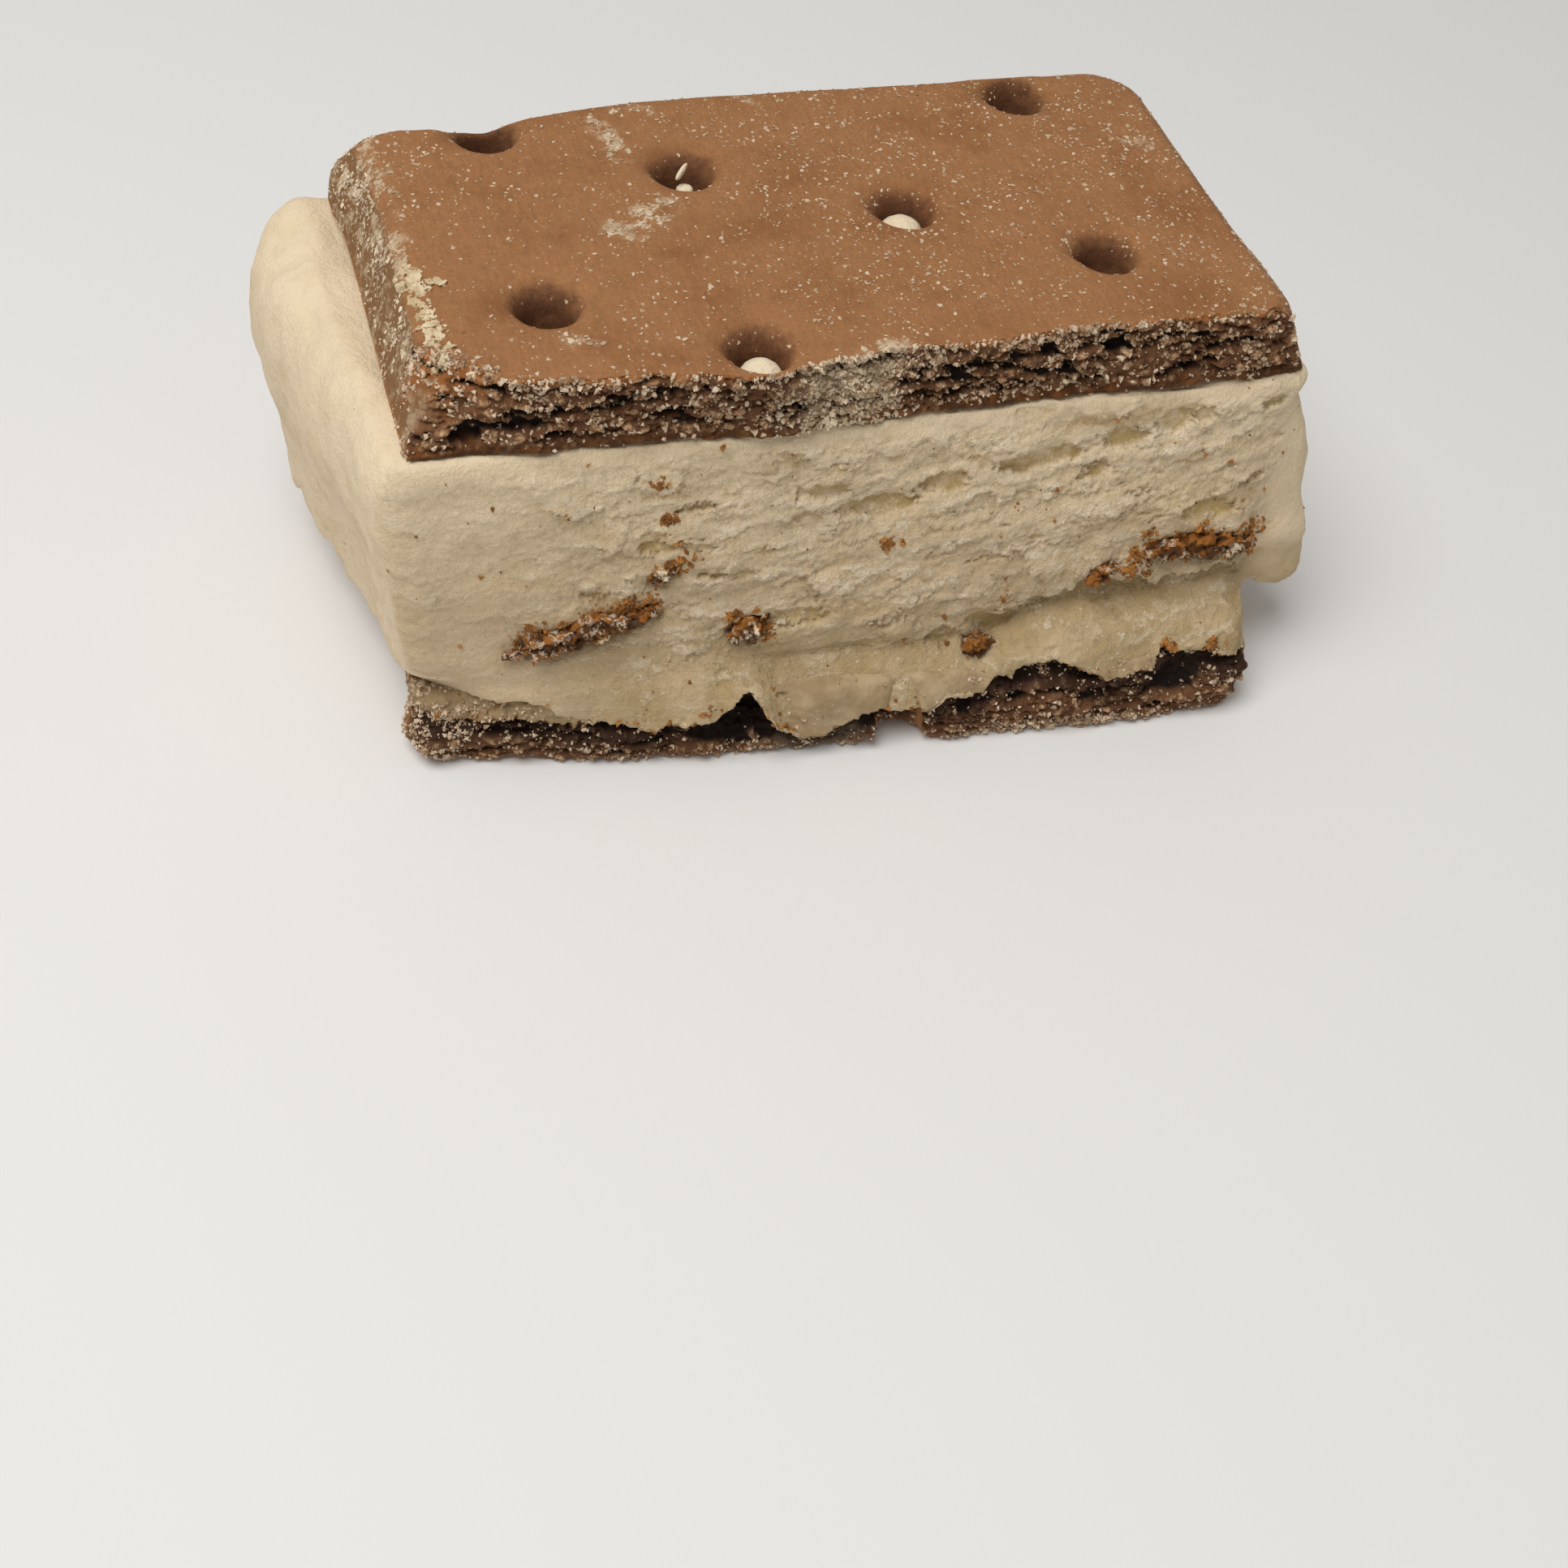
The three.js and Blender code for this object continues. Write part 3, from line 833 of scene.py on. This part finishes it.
# Smooth hollows in the torn face: x, z, half width, half height, strength.
tornHollows = [
    (10.6, 18.3, 1.8, 0.65, 1), (8.6, 18, 1.4, 0.6, 0.8), (15, 18.9, 1.4, 0.6, 0.9),
    (17.6, 19.7, 1.1, 0.65, 0.9), (19.4, 20, 0.7, 0.5, 0.9), (13.2, 17, 0.9, 0.55, 0.6),
    (4.4, 17.3, 1.5, 0.65, 0.8), (0.5, 16.2, 2.4, 0.55, 1), (-2.6, 17.6, 1.7, 0.45, 0.8),
    (21, 13.7, 2, 0.55, 0.8), (23.6, 20.4, 0.8, 0.35, 0.8), (-9.4, 17.4, 1.4, 0.3, 0.6),
    (-11.6, 15.2, 1.4, 0.5, 0.6), (-8.6, 13, 1, 0.3, 0.5), (-15, 12.2, 1, 0.35, 0.5),
    (-3.5, 9.3, 2.2, 0.7, 0.6), (2, 8.4, 1.6, 0.5, 0.5), (-12, 10.4, 1.2, 0.5, 0.5),
    (7.3, 12.2, 1, 0.35, 0.4), (16, 15.4, 1, 0.3, 0.4), (23.5, 15.2, 0.7, 0.3, 0.5),
    (8.6, 7.3, 1.8, 0.9, 0.7), (5.6, 6.6, 1, 0.8, 0.6),
]


# Where the torn cream comes down over the tops of the cookie pieces, in the same terms.
cookieLids = [
    (-18.4, 9.2, 1.6, 0.8, 1), (-16.1, 10.4, 1.6, 0.8, 1), (-13.8, 11.3, 1.6, 0.8, 1),
    (18.8, 12.1, 1.6, 0.7, 1), (21.2, 12.5, 1.6, 0.7, 1), (23.4, 12.4, 1.6, 0.7, 1),
    (-11.3, 13.9, 1, 0.7, 1), (-6.3, 9.9, 1.1, 0.7, 1), (14.9, 11, 0.9, 0.6, 1), (7.9, 6.6, 1, 0.6, 1),
]


def tearGraph():
    graph, geometry, place, normal = shapeGraph("creamTear")
    x, y, z = split(place)
    nx, ny, nz = split(normal)
    upFacing = nz * step(z, 12, 10) * 0.7
    torn = step(upFacing - ny, 0.3, 0.65) * step(y, -9.5, -11.5)
    torn = blurred(torn, 2)
    fromLeft = 0.35 + step(x, -22, -12) * 0.65
    onLobe = 1 - step(x, 23.5, 26) * 0.9
    nearTop = 1 - step(z, 20.2, 21.4) * 0.8
    rough = fromLeft * onLobe * nearTop * (0.65 + step(z, 5.5, 9) * 0.35)
    patchy = step(noise(stretch(place, 0.3, 0.3, 0.6), 1, 3), 0.38, 0.60)
    broadLips = flakeHeight(place, 2, 4) * cream["lipDepth"]
    fineLips = flakeHeight(shift(place, 9, 4, 2), 0.9, 3) * cream["fineLipDepth"]
    lips = broadLips * (0.15 + patchy * 0.85) + fineLips
    wander = sway(place, 1, 5, 0.7) * 2 + sway(place, 2.8, 4, 0.7) * 1.1
    listed = ovals(x + wander, z + wander * 0.6, tornHollows)
    jagged = sway(place, 2.2, 4, 0.7) * 1.5
    listed = step(listed + jagged, 0.3, 0.65) * step(listed, 0.02, 0.2)
    scattered = noise(stretch(shift(place, 11, 3, 17), 0.32, 0.3, 0.9), 1, 3, 0.6)
    scattered = step(scattered, 0.62, 0.68) * step(x, -18, -8) * 0.5
    dip = maximum(listed, scattered)
    broadCrags = sway(stretch(place, 0.4, 0.4, 0.7), 1, 3, 0.5) * 0.42
    crags = broadCrags + sway(stretch(place, 0.8, 0.8, 1), 2.4, 4, 0.7) * 0.2
    lifted = (lips + crags) * rough * (1 - dip * 0.6)
    lifted = lifted - dip * cream["hollowDepth"]
    dents = sway(stretch(place, 0.3, 0.3, 0.22), 1, 2, 0.45)
    moulded = sway(place, 0.16, 2) * 0.5 + dents + sway(place, 0.7, 4, 0.6) * 0.16
    outward = lifted * torn + moulded * (1 - torn)
    underLedge = step(x, 7, 12) * step(z, 9.6, 8.4)
    lowDown = step(z, 9.5, 6) * step(x, -20, -10)
    scoop = maximum(underLedge, lowDown) * torn
    sink = sway(place, 1.6, 3, 0.6) * 1.1
    gap = step(graph.recall("aboveSeam") + sink, 0.1, -0.15)
    gap = gap * step(y, -12, -14) * step(z, 6.4, 5.8)
    ear = step(x, -25.2, -26.8) * step(y, 8.5, 11.2) * step(z, 18.8, 20.2)
    earTop = step(x, -22.6, -24.4) * step(y, 6, 9.5) * step(z, 18, 20)
    lobe = step(x, 25.4, 26.6) * step(y, -10, -11.5)
    lobeEdge = lobe * step(z, 4.9, 6.5) * step(z, 11.8, 8.6) * step(ny, -0.1, -0.6)
    beside = step(nx, 0.2, 0.7) * step(y, -8, -11) * step(x, 22, 24)
    upperEdge = beside * (bump(z, 16.2, 4.4) + bump(z, 21.1, 0.9) * 1.4)
    lobeFoot = lobe * step(z, 8, 6)
    ledge = step(x, 5, 9) * step(x, 25.2, 24.4) * step(y, -12.4, -13.4)
    ledge = ledge * bump(z, 9.7, 1.7)
    flaps = sway(stretch(place, 1, 0.3, 0.3), 0.75, 4, 0.65) + 0.1
    flaps = ledge * maximum(flaps, 0) * 4.5
    seamHeight = z - graph.recall("aboveSeam")
    drape = step(z, 5.9, 4.9) * step(y, -14.4, -15.2) * step(x, 25.2, 24.4)
    flush = step(x, 11, 13.5)
    ragged = sway(place, 1.2, 4, 0.7) * 1.6
    lids = ovals(x, z, cookieLids) * step(y, -11.5, -13) * 0.42
    hang = drape * maximum(4.7 - seamHeight + ragged, 0)
    lumps = 0.42 - cells(stretch(place, 1, 1, 1.5), 1.25)["Distance"]
    outward = outward + ear * 0.6 + upperEdge * 0.27 + gap * lumps * 0.9
    inward = gap * 0.9 + drape * (0.35 - flush * 0.5) - lobeEdge * 0.5
    upward = earTop * 0.4 - (lobeFoot * 0.2 + hang + flaps + lids)
    # Painted shade: the torn face darkens toward the bottom.
    shaded = step(z, 20, 11) * (1 - step(x, 23.5, 25.5))
    geometry = remember(
        geometry,
        broken=torn,
        gap=gap,
        seamEdge=drape * step(z, 5.2, 4.95),
        hollow=dip * torn,
        deep=shaded * torn,
        scoop=scoop,
        rough=rough * torn,
    )
    return graph.finish(Geometry=push(geometry, normal, outward, inward, upward))


def creamMaterial(name, color, tornColor):
    material, graph, place = newMaterial(name, 0.75, 0.3)
    broad = noise(place, 0.11, 3, 0.55)
    clean = mixColor(graph.surface("broken"), color, tornColor)
    base = mixColor(step(broad, 0.42, 0.74) * 0.5, clean, cream["shade"])
    base = mottled(base, place, 1.4, 0.07)
    base = mottled(base, place, 0.25, 0.08)
    dent = step(noise(shift(place, 3, 8, 5), 0.75, 3, 0.6), 0.58, 0.68)
    rough = graph.surface("rough")
    hollow = graph.surface("hollow")
    hollowShadeSpread = step(noise(shift(place, 5, 2, 7), 0.8, 4, 0.7), 0.34, 0.58)
    spread = 0.6 + step(noise(place, 0.3, 3), 0.35, 0.65)
    smooth = 1 - graph.surface("broken")
    cloud = step(noise(shift(place, 1, 9, 4), 0.5, 5, 0.7), 0.46, 0.66)
    raised = step(useGroup(flakes, Place=place), 0.6, 0.95)
    # Wafer-crumb brown mixed with near black, the near black being painted shade in the cave.
    crumb = mixColor(step(noise(place, 1.6, 3, 0.7), 0.4, 0.65), cream["gap"], cream["crumb"])
    base = layered(
        base,
        (dent * 0.3, cream["grey"]),
        (useGroup(flakes, "Shade", Place=place) * rough * 0.8, cream["low"]),
        # Painted shade, darker toward the bottom of the torn face.
        (graph.surface("deep") * 0.55, cream["below"]),
        # Painted shade: the hollows are tinted darker and olive-yellow, for the warm shade inside them.
        (step(hollow, 0.1, 0.9) * hollowShadeSpread * 0.75, cream["olive"]),
        # Under the ledge and low down the face turns olive: partly its own tint, partly painted shade.
        (graph.surface("scoop") * spread * 0.5, cream["recess"]),
        (dotted(place, 0.09, 0.4, 0.1) * 0.3, cream["frost"]),
        (cloud * smooth * 0.7, cream["shade"]),
        (smooth * step(split(place)[2], 12, 21) * 0.45, cream["pale"]),
        (dotted(place, 0.1, 1.7, 0.25) * 0.6, cream["freckle"]),
        # Raised flake tops turn frost-white: partly real frost, partly painted highlight.
        (raised * rough * 0.45, cream["frost"]),
        # Where the cream is cut back: crumb brown and painted shade.
        (graph.surface("gap"), crumb),
    )
    fine = grainy(place, 1.9, 5.5)
    lips = useGroup(flakes, "Height", Place=place) * rough * (1 - hollow)
    finishShader(graph, base, fine * 1.4 + lips * 1.2, 0.85, 0.19 * mm)
    return material


vanilla = creamMaterial("vanillaCream", cream["color"], cream["tornColor"])
vanillaEnds = creamMaterial("vanillaEnds", cream["endColor"], cream["endColor"])


# Clusters of orange crumbs in the torn face: start and end in x and z, half width, strength.
crumbStrokes = [
    ((-11.8, 19.5), (-11.6, 19.2), 0.22, 1), ((-11.4, 16.9), (-10.9, 16.9), 0.25, 1),
    ((-10.5, 15.3), (-10, 15.2), 0.15, 0.5), ((-10.9, 14.1), (-10.5, 14.3), 0.25, 1),
    ((-9.9, 13.9), (-9.8, 13.9), 0.15, 0.8), ((-7.4, 9.9), (-7, 9.8), 0.25, 1),
    ((-5.5, 8.9), (-5.1, 8.2), 0.3, 1), ((-5.9, 10.3), (-5.9, 10.4), 0.15, 0.7),
    ((-18.5, 10.3), (-18.4, 10.5), 0.15, 0.8), ((1.3, 13.9), (1.4, 13.6), 0.25, 1),
    ((2.1, 13.8), (2.15, 13.8), 0.12, 0.7), ((8.9, 15.2), (8.95, 15.3), 0.15, 0.8),
    ((8.8, 9), (9, 9.1), 0.15, 0.9), ((17.2, 12.5), (17.5, 12.7), 0.25, 1),
    ((16.6, 11.3), (16.8, 11.1), 0.22, 1), ((16.6, 10.4), (16.6, 10), 0.3, 1),
    ((17.6, 9.9), (17.8, 9.7), 0.18, 0.9), ((20.4, 12.6), (20.7, 12.5), 0.2, 0.8),
    ((25.1, 11.1), (25.2, 11), 0.15, 0.7), ((20.4, 10.4), (22.6, 11), 0.3, 0.6),
    ((19.2, 5.6), (19.6, 5.4), 0.25, 1), ((22, 5.4), (22.3, 5.3), 0.25, 0.9),
    ((-9.4, 3.7), (-8.5, 4), 0.2, 0.9), ((-12, 3.3), (-11.4, 3.2), 0.15, 0.6),
    ((-4.4, 3.2), (-3.4, 2.6), 0.2, 0.6), ((-18.6, 9.2), (-12, 11.3), 0.7, 0.35),
    ((-6.9, 9.2), (-5.6, 8.9), 0.6, 0.3), ((18, 11.3), (24.2, 11.2), 0.8, 0.35),
    ((16.6, 10.3), (16.9, 11), 0.5, 0.4), ((-10.6, 13.6), (-9.8, 14.2), 0.5, 0.3),
]


def makeIceCream():
    piece = pieceFromNode("ice_cream", "iceCream")
    soften(piece, cream["voxel"], cream["softening"])
    refineBreak(piece, -9.5 * mm, cream["breakCuts"])
    markSeam(piece)
    reshape(piece, tearGraph())
    paintStrokes(piece, "crumbs", crumbStrokes, 4, (0, 2))
    shadeSmooth(piece)
    piece.data.materials.append(vanilla)
    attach(piece, "root")
    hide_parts("ice_cream")
    print("stage: ice cream", len(piece.data.polygons), "faces")
    return piece


iceCream = makeIceCream()


# Rounded ends of ice cream that stand in three of the holes, and a splinter beside the smallest.
domes = {
    "ends": [
        {"place": (-6.35, -12.2, 24.85), "radius": 1.12},
        {"place": (-6.35, 3.75, 25.72), "radius": 0.5},
        {"place": (4.8, -1.25, 25.15), "radius": 1.2},
    ],
    "foot": 22,
    "flat": 0.72,
    "splinterWidth": 1.8,
    "splinter": {"foot": (-6.9, 3.65, 25.9), "tip": (-6.15, 4.35, 26.42), "radius": 0.12},
}


# A ball whose lower half is drawn down to the foot, then flattened and put in its hole.
def makeDome(place, radius):
    bpy.ops.object.select_all(action="DESELECT")
    bpy.ops.mesh.primitive_uv_sphere_add(segments=40, ring_count=28, radius=radius * mm)
    part = bpy.context.object
    editOnly(part.data, "vertices", readVectors(part.data.vertices, "co")[:, 2] < -0.01 * mm)
    drop = (domes["foot"] + radius - place[2]) * mm / domes["flat"]
    bpy.ops.transform.translate(value=(0, 0, drop))
    bpy.ops.mesh.select_all(action="SELECT")
    bpy.ops.transform.resize(value=(1, 1, domes["flat"]))
    bpy.ops.transform.translate(value=Vector(place) * mm)
    setMode("OBJECT")
    return part


def makeSplinter(foot, tip, radius):
    foot, tip = Vector(foot) * mm, Vector(tip) * mm
    turn = (tip - foot).to_track_quat("Z", "Y").to_matrix().to_4x4()
    bpy.ops.object.select_all(action="DESELECT")
    bpy.ops.mesh.primitive_ico_sphere_add(subdivisions=3, radius=1)
    part = bpy.context.object
    size = (radius * mm, radius * domes["splinterWidth"] * mm, (tip - foot).length / 2, 1)
    part.data.transform(turn @ Matrix.Diagonal(size))
    part.data.transform(Matrix.Translation((foot + tip) / 2))
    return part


def makeDomes():
    parts = [makeDome(**end) for end in domes["ends"]] + [makeSplinter(**domes["splinter"])]
    pick(parts[0])
    for part in parts[1:]:
        part.select_set(True)
    bpy.ops.object.join()
    piece = bpy.context.object
    piece.name = "creamInHoles"
    graph, geometry, place, normal = shapeGraph("domeRelief")
    outward = sway(place, 0.9) * 0.2 + sway(place, 4) * 0.07
    reshape(piece, graph.finish(Geometry=push(geometry, normal, outward)))
    shadeSmooth(piece)
    piece.data.materials.append(vanillaEnds)
    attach(piece, "root")


makeDomes()


# Cookie pieces in the break

cookie = {
    "voxel": 0.13 * mm,
    "softening": 2,
    "swell": 0.02,
    "banks": [
        (-16.4, 10.9, 1.5, 0.6, 1), (-14.5, 8.9, 0.4, 0.7, 1), (-6.04, 9.4, 0.12, 0.5, 0.8),
        (-11.4, 13.3, 0.3, 0.4, 0.8), (19.5, 10.9, 0.3, 0.8, 1), (22.8, 10.6, 0.25, 0.7, 1),
        (21.2, 10, 0.9, 0.4, 1), (20.2, 12.6, 1.2, 0.3, 1), (24.4, 11.8, 0.6, 0.3, 1),
        (18.1, 12.4, 0.5, 0.3, 1),
    ],
    "core": srgb(84, 52, 24),
    "crust": srgb(152, 96, 40),
    "deep": srgb(48, 26, 14),
    "frost": srgb(206, 190, 168),
}


def cookieMaterial():
    material, graph, place = newMaterial("cookieCrumb", 0.85, 0.25)
    patch = noise(place, 1.1, 4, 0.65)
    edge = patch + graph.surface("rim") * 0.16
    base = mixColor(step(edge, 0.50, 0.64), cookie["core"], cookie["crust"])
    base = mottled(base, place, 0.4, 0.5)
    base = mixColor(graph.surface("pit") * 0.6, base, cookie["deep"])
    base = mixColor(graph.surface("covered"), base, cream["tornColor"])
    icy = step(noise(place, 3.2, 3, 0.7), 0.50, 0.56) * graph.surface("icy")
    base = mixColor(icy * 0.8, base, cookie["frost"])
    height = grainy(place, 3, 9)
    finishShader(graph, base, height, 0.6, 0.12 * mm)
    return material


# Knobbly and porous, with torn ice cream over its outer rim.
def crumbleGraph():
    graph, geometry, place, normal = shapeGraph("cookieCrumble")
    x, _, z = split(place)
    rim = step(split(normal)[1], -0.9, -0.4)
    lumps = 0.45 - cells(place, 1.2)["Distance"]
    bits = 0.4 - cells(place, 2.9)["Distance"]
    gaps = step(noise(place, 1.4, 3, 0.6), 0.54, 0.62)
    wander = sway(place, 1.2, 4, 0.65) * 1.6
    banks = ovals(x + wander, z + wander, cookie["banks"])
    covered = step(banks, 0.35, 0.6)
    outward = cookie["swell"] + lumps * 0.9 + bits * 0.6 + gaps * -0.25
    geometry = remember(
        geometry,
        pit=gaps,
        rim=rim,
        icy=step(noise(place, 0.8), 0.47, 0.54),
        covered=covered,
    )
    upward = step(x, -10.6, -12) * 0.36 + step(x, -16.5, -20) * 0.45
    return graph.finish(Geometry=push(geometry, normal, outward, -0.15, upward))


cookieBrown = cookieMaterial()
crumble = crumbleGraph()

for node in sorted(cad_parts):
    if node.startswith("cookie_"):
        words = node.split("_")
        piece = pieceFromNode(node, words[0] + "".join(word.title() for word in words[1:]))
        soften(piece, cookie["voxel"], cookie["softening"])
        reshape(piece, crumble)
        shadeSmooth(piece)
        piece.data.materials.append(cookieBrown)
        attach(piece, "root")
        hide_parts(node)
print("stage: cookie pieces")


# Frost, sugar grains and crumbs

def plainMaterial(name, first, second, roughness, size):
    material, graph, place = newMaterial(name, roughness, 0.35)
    base = mixColor(step(noise(place, 1 / size, 2), 0.38, 0.62), first, second)
    height = grainy(place, 5, 14)
    finishShader(graph, base, height, 0.4, 0.05 * mm)
    return material


# What all the grains share: how many are small, and how knobbly they are.
grains = {"skew": 2.2, "knobs": 1.3, "knobHeight": 2.4, "smallest": (0.6, 0.6), "largest": (1.7, 1.2)}


def randomField(graph, kind, output, seed, low, high):
    sockets = dict(zip((0, 1) if kind == "FLOAT_VECTOR" else (2, 3), (low, high)), Seed=seed)
    return graph.field("FunctionNodeRandomValue", sockets, output, data_type=kind)


# Scatters knobbly grains over a piece. share gives how many lie where, mostly from 0 to 1.
def scatterGraph(name, settings, share):
    graph, geometry, place = shapeGraph(name)[:3]
    seed, flat, tumble = settings["seed"], settings["flat"], settings["tumble"]
    density = share(graph, place) * (settings["density"] / mm ** 2)
    sockets = {"Mesh": geometry, "Density": density, "Seed": seed}
    spots = graph.fields("GeometryNodeDistributePointsOnFaces", sockets)
    kernel = graph.field("GeometryNodeMeshIcoSphere", {"Radius": mm, "Subdivisions": settings["rounds"]})
    kernelPlace, kernelNormal = positionAndNormal(graph)
    outward = scaled(kernelNormal, sway(kernelPlace, grains["knobs"]) * (grains["knobHeight"] * mm))
    kernel = graph.field("GeometryNodeSetPosition", {"Geometry": kernel, "Offset": outward})
    low, high = settings["size"]
    skewed = combine("POWER", randomField(graph, "FLOAT", 1, seed + 1, 0, 1), grains["skew"])
    radius = skewed * ((high - low) / 2) + low / 2
    flattest, thickest = (*grains["smallest"], flat), (*grains["largest"], flat * 1.3)
    squash = randomField(graph, "FLOAT_VECTOR", 0, seed + 2, flattest, thickest)
    turn = randomField(graph, "FLOAT_VECTOR", 0, seed + 3, (-tumble, -tumble, 0), (tumble, tumble, 6.283))
    sockets = {"Points": spots["Points"], "Instance": kernel, "Rotation": spots["Rotation"]}
    sockets["Scale"] = scaled(squash, radius)
    placed = graph.field("GeometryNodeInstanceOnPoints", sockets)
    placed = graph.field("GeometryNodeRotateInstances", {"Instances": placed, "Rotation": turn})
    solid = graph.field("GeometryNodeRealizeInstances", {"Geometry": placed})
    return graph.finish(Geometry=insideBox(solid))


def scatterOn(host, name, share, material):
    piece = addObject(name, host.data.copy())
    reshape(piece, scatterGraph(name + "Scatter", scatters[name], share))
    piece.data.materials.clear()
    piece.data.materials.append(material)
    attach(piece, "root")
    print("stage:", name, len(piece.data.polygons), "triangles")


frostWhite = plainMaterial("frostWhite", srgb(212, 192, 164), srgb(184, 158, 126), 0.6, 1.5)
frostPale = plainMaterial("frostPale", srgb(232, 214, 184), srgb(186, 166, 138), 0.6, 1)
sugarWhite = plainMaterial("sugarWhite", srgb(220, 198, 170), srgb(160, 130, 98), 0.5, 0.5)
creamDried = plainMaterial("creamDried", srgb(226, 208, 172), srgb(196, 172, 132), 0.7, 1.2)
crumbBrown = plainMaterial("crumbBrown", srgb(160, 112, 66), srgb(118, 78, 44), 0.85, 1.2)
crumbOrange = plainMaterial("crumbOrange", srgb(178, 120, 56), srgb(128, 82, 34), 0.85, 0.6)


def dustShare(graph, place):
    patches = step(noise(place, 0.14, 4, 0.7), 0.38, 0.62)
    clusters = step(noise(place, 0.9, 3, 0.7), 0.42, 0.62)
    onSkin = step(split(graph.field("GeometryNodeInputNormal"))[2], 0.3, 0.6)
    amount = 0.12 + patches * (0.25 + clusters * 0.75)
    x, y = split(place)[:2]
    spread = 0.4 + step(x, -12, 2) * 0.75
    backLeft = step(x, -17, -21) * step(y, 1, 8) * 0.7
    amount = amount * (spread + backLeft)
    return onSkin * amount * (1 - graph.recall("broken"))


def smearShare(graph, place):
    ragged = step(noise(place, 0.9, 4, 0.75), 0.44, 0.62)
    return graph.recall("smear") * ragged * (1 - graph.recall("broken"))


def ridgeShare(graph, place):
    ragged = step(noise(place, 1.1, 3, 0.7), 0.34, 0.46)
    return graph.recall("ridge") * ragged


def brokenShare(graph, place):
    clumps = step(noise(place, 0.5, 3, 0.7), 0.48, 0.62)
    covered = maximum(graph.recall("creamy"), graph.recall("band"))
    bare = (1 - graph.recall("pit") * 0.95) * (1 - covered * 0.8)
    chipped = graph.recall("chip") * (0.1 + clumps * 0.6)
    edge = clumps * 0.6 + graph.recall("rim") * 0.5 + chipped
    return graph.recall("broken") * (0.12 + edge) * bare


def lowerShare(graph, place):
    x, y, z = split(place)
    rind = bump(x, 13, 10) * step(z, 1.5, 0.5) * graph.recall("broken") * 2
    flecked = step(noise(place, 0.9), 0.42, 0.54)
    corner = step(x, -17, -20) * graph.recall("creamy") * flecked * 1.8
    side = step(x, -21, -23) * step(y, -8, -12) * flecked * 1.5
    upper = graph.recall("band") * flecked * step(x, 6, 9) * 0.8
    return brokenShare(graph, place) + rind + corner + side + upper


def greyPatchShare(graph, place):
    return graph.recall("patch") * (1 - graph.recall("pit"))


def sideShare(graph, place):
    patches = step(noise(place, 0.35, 4, 0.75), 0.42, 0.60)
    high = step(split(place)[2], 22.5, 25)
    return graph.recall("wall") * patches * (0.35 + high * 0.65)


def freckleShare(graph, place):
    torn = 0.25 + graph.recall("broken") * 0.75
    return step(noise(place, 0.2), 0.35, 0.6) * torn


def looseCrumbShare(graph, place):
    low = 0.001 + step(split(place)[2], 6.5, 5) * 0.003
    clumps = step(noise(place, 0.5), 0.48, 0.56)
    edge = graph.recall("seamEdge") * clumps * 0.09
    bare = 1 - graph.recall("gap")
    return graph.recall("broken") * maximum(low, edge, graph.recall("crumbs")) * bare


def fringeShare(graph, place):
    creamy = graph.recall("creamy")
    x, _, z = split(place)
    low = step(z, 1.6, 2)
    clusters = step(noise(place, 0.45), 0.5, 0.57)
    fringe = creamy * (1 - creamy) * low * clusters * 2.8
    corner = step(x, -18.5, -20.5) * creamy * step(noise(place, 0.8), 0.5, 0.58)
    return fringe + corner


# Density by the square millimetre, and size in millimetres.
specks = {"flat": 0.4, "tumble": 0.4, "rounds": 1}
chunks = {"flat": 0.6, "tumble": 0.8, "rounds": 1}
bits = {"flat": 0.8, "tumble": 1.5, "rounds": 1}
scatters = {
    "frostOnTop": {"density": 11.5, "size": (0.05, 0.27), **specks, "seed": 11},
    "smearsOnTop": {"density": 26, "size": (0.12, 0.4), **specks, "flat": 0.3, "tumble": 0.3, "seed": 21},
    "creamRidge": {"density": 26, "size": (0.2, 0.62), **chunks, "tumble": 0.9, "rounds": 2, "seed": 25},
    "sugarTop": {"density": 38, "size": (0.12, 0.38), **bits, "seed": 31},
    "frostPatch": {"density": 24, "size": (0.14, 0.42), **bits, "flat": 0.6, "seed": 41},
    "sugarBottom": {"density": 19, "size": (0.1, 0.34), **bits, "seed": 51},
    "seamCrumbs": {"density": 9, "size": (0.12, 0.42), **bits, "seed": 55},
    "frostOnSides": {"density": 24, "size": (0.08, 0.34), **specks, "seed": 61},
    "frostOnLowSides": {"density": 7, "size": (0.08, 0.3), **specks, "seed": 65},
    "creamFreckles": {"density": 0.08, "size": (0.08, 0.2), **chunks, "seed": 71},
    "looseCrumbs": {"density": 60, "size": (0.14, 0.44), **bits, "seed": 81},
}

scatterOn(topWafer, "frostOnTop", dustShare, frostWhite)
scatterOn(topWafer, "smearsOnTop", smearShare, frostWhite)
scatterOn(topWafer, "creamRidge", ridgeShare, creamDried)
scatterOn(topWafer, "sugarTop", brokenShare, sugarWhite)
scatterOn(topWafer, "frostPatch", greyPatchShare, frostPale)
scatterOn(bottomWafer, "sugarBottom", lowerShare, sugarWhite)
scatterOn(bottomWafer, "seamCrumbs", fringeShare, crumbOrange)
scatterOn(topWafer, "frostOnSides", sideShare, frostPale)
scatterOn(bottomWafer, "frostOnLowSides", sideShare, frostPale)
scatterOn(iceCream, "creamFreckles", freckleShare, crumbBrown)
scatterOn(iceCream, "looseCrumbs", looseCrumbShare, crumbOrange)
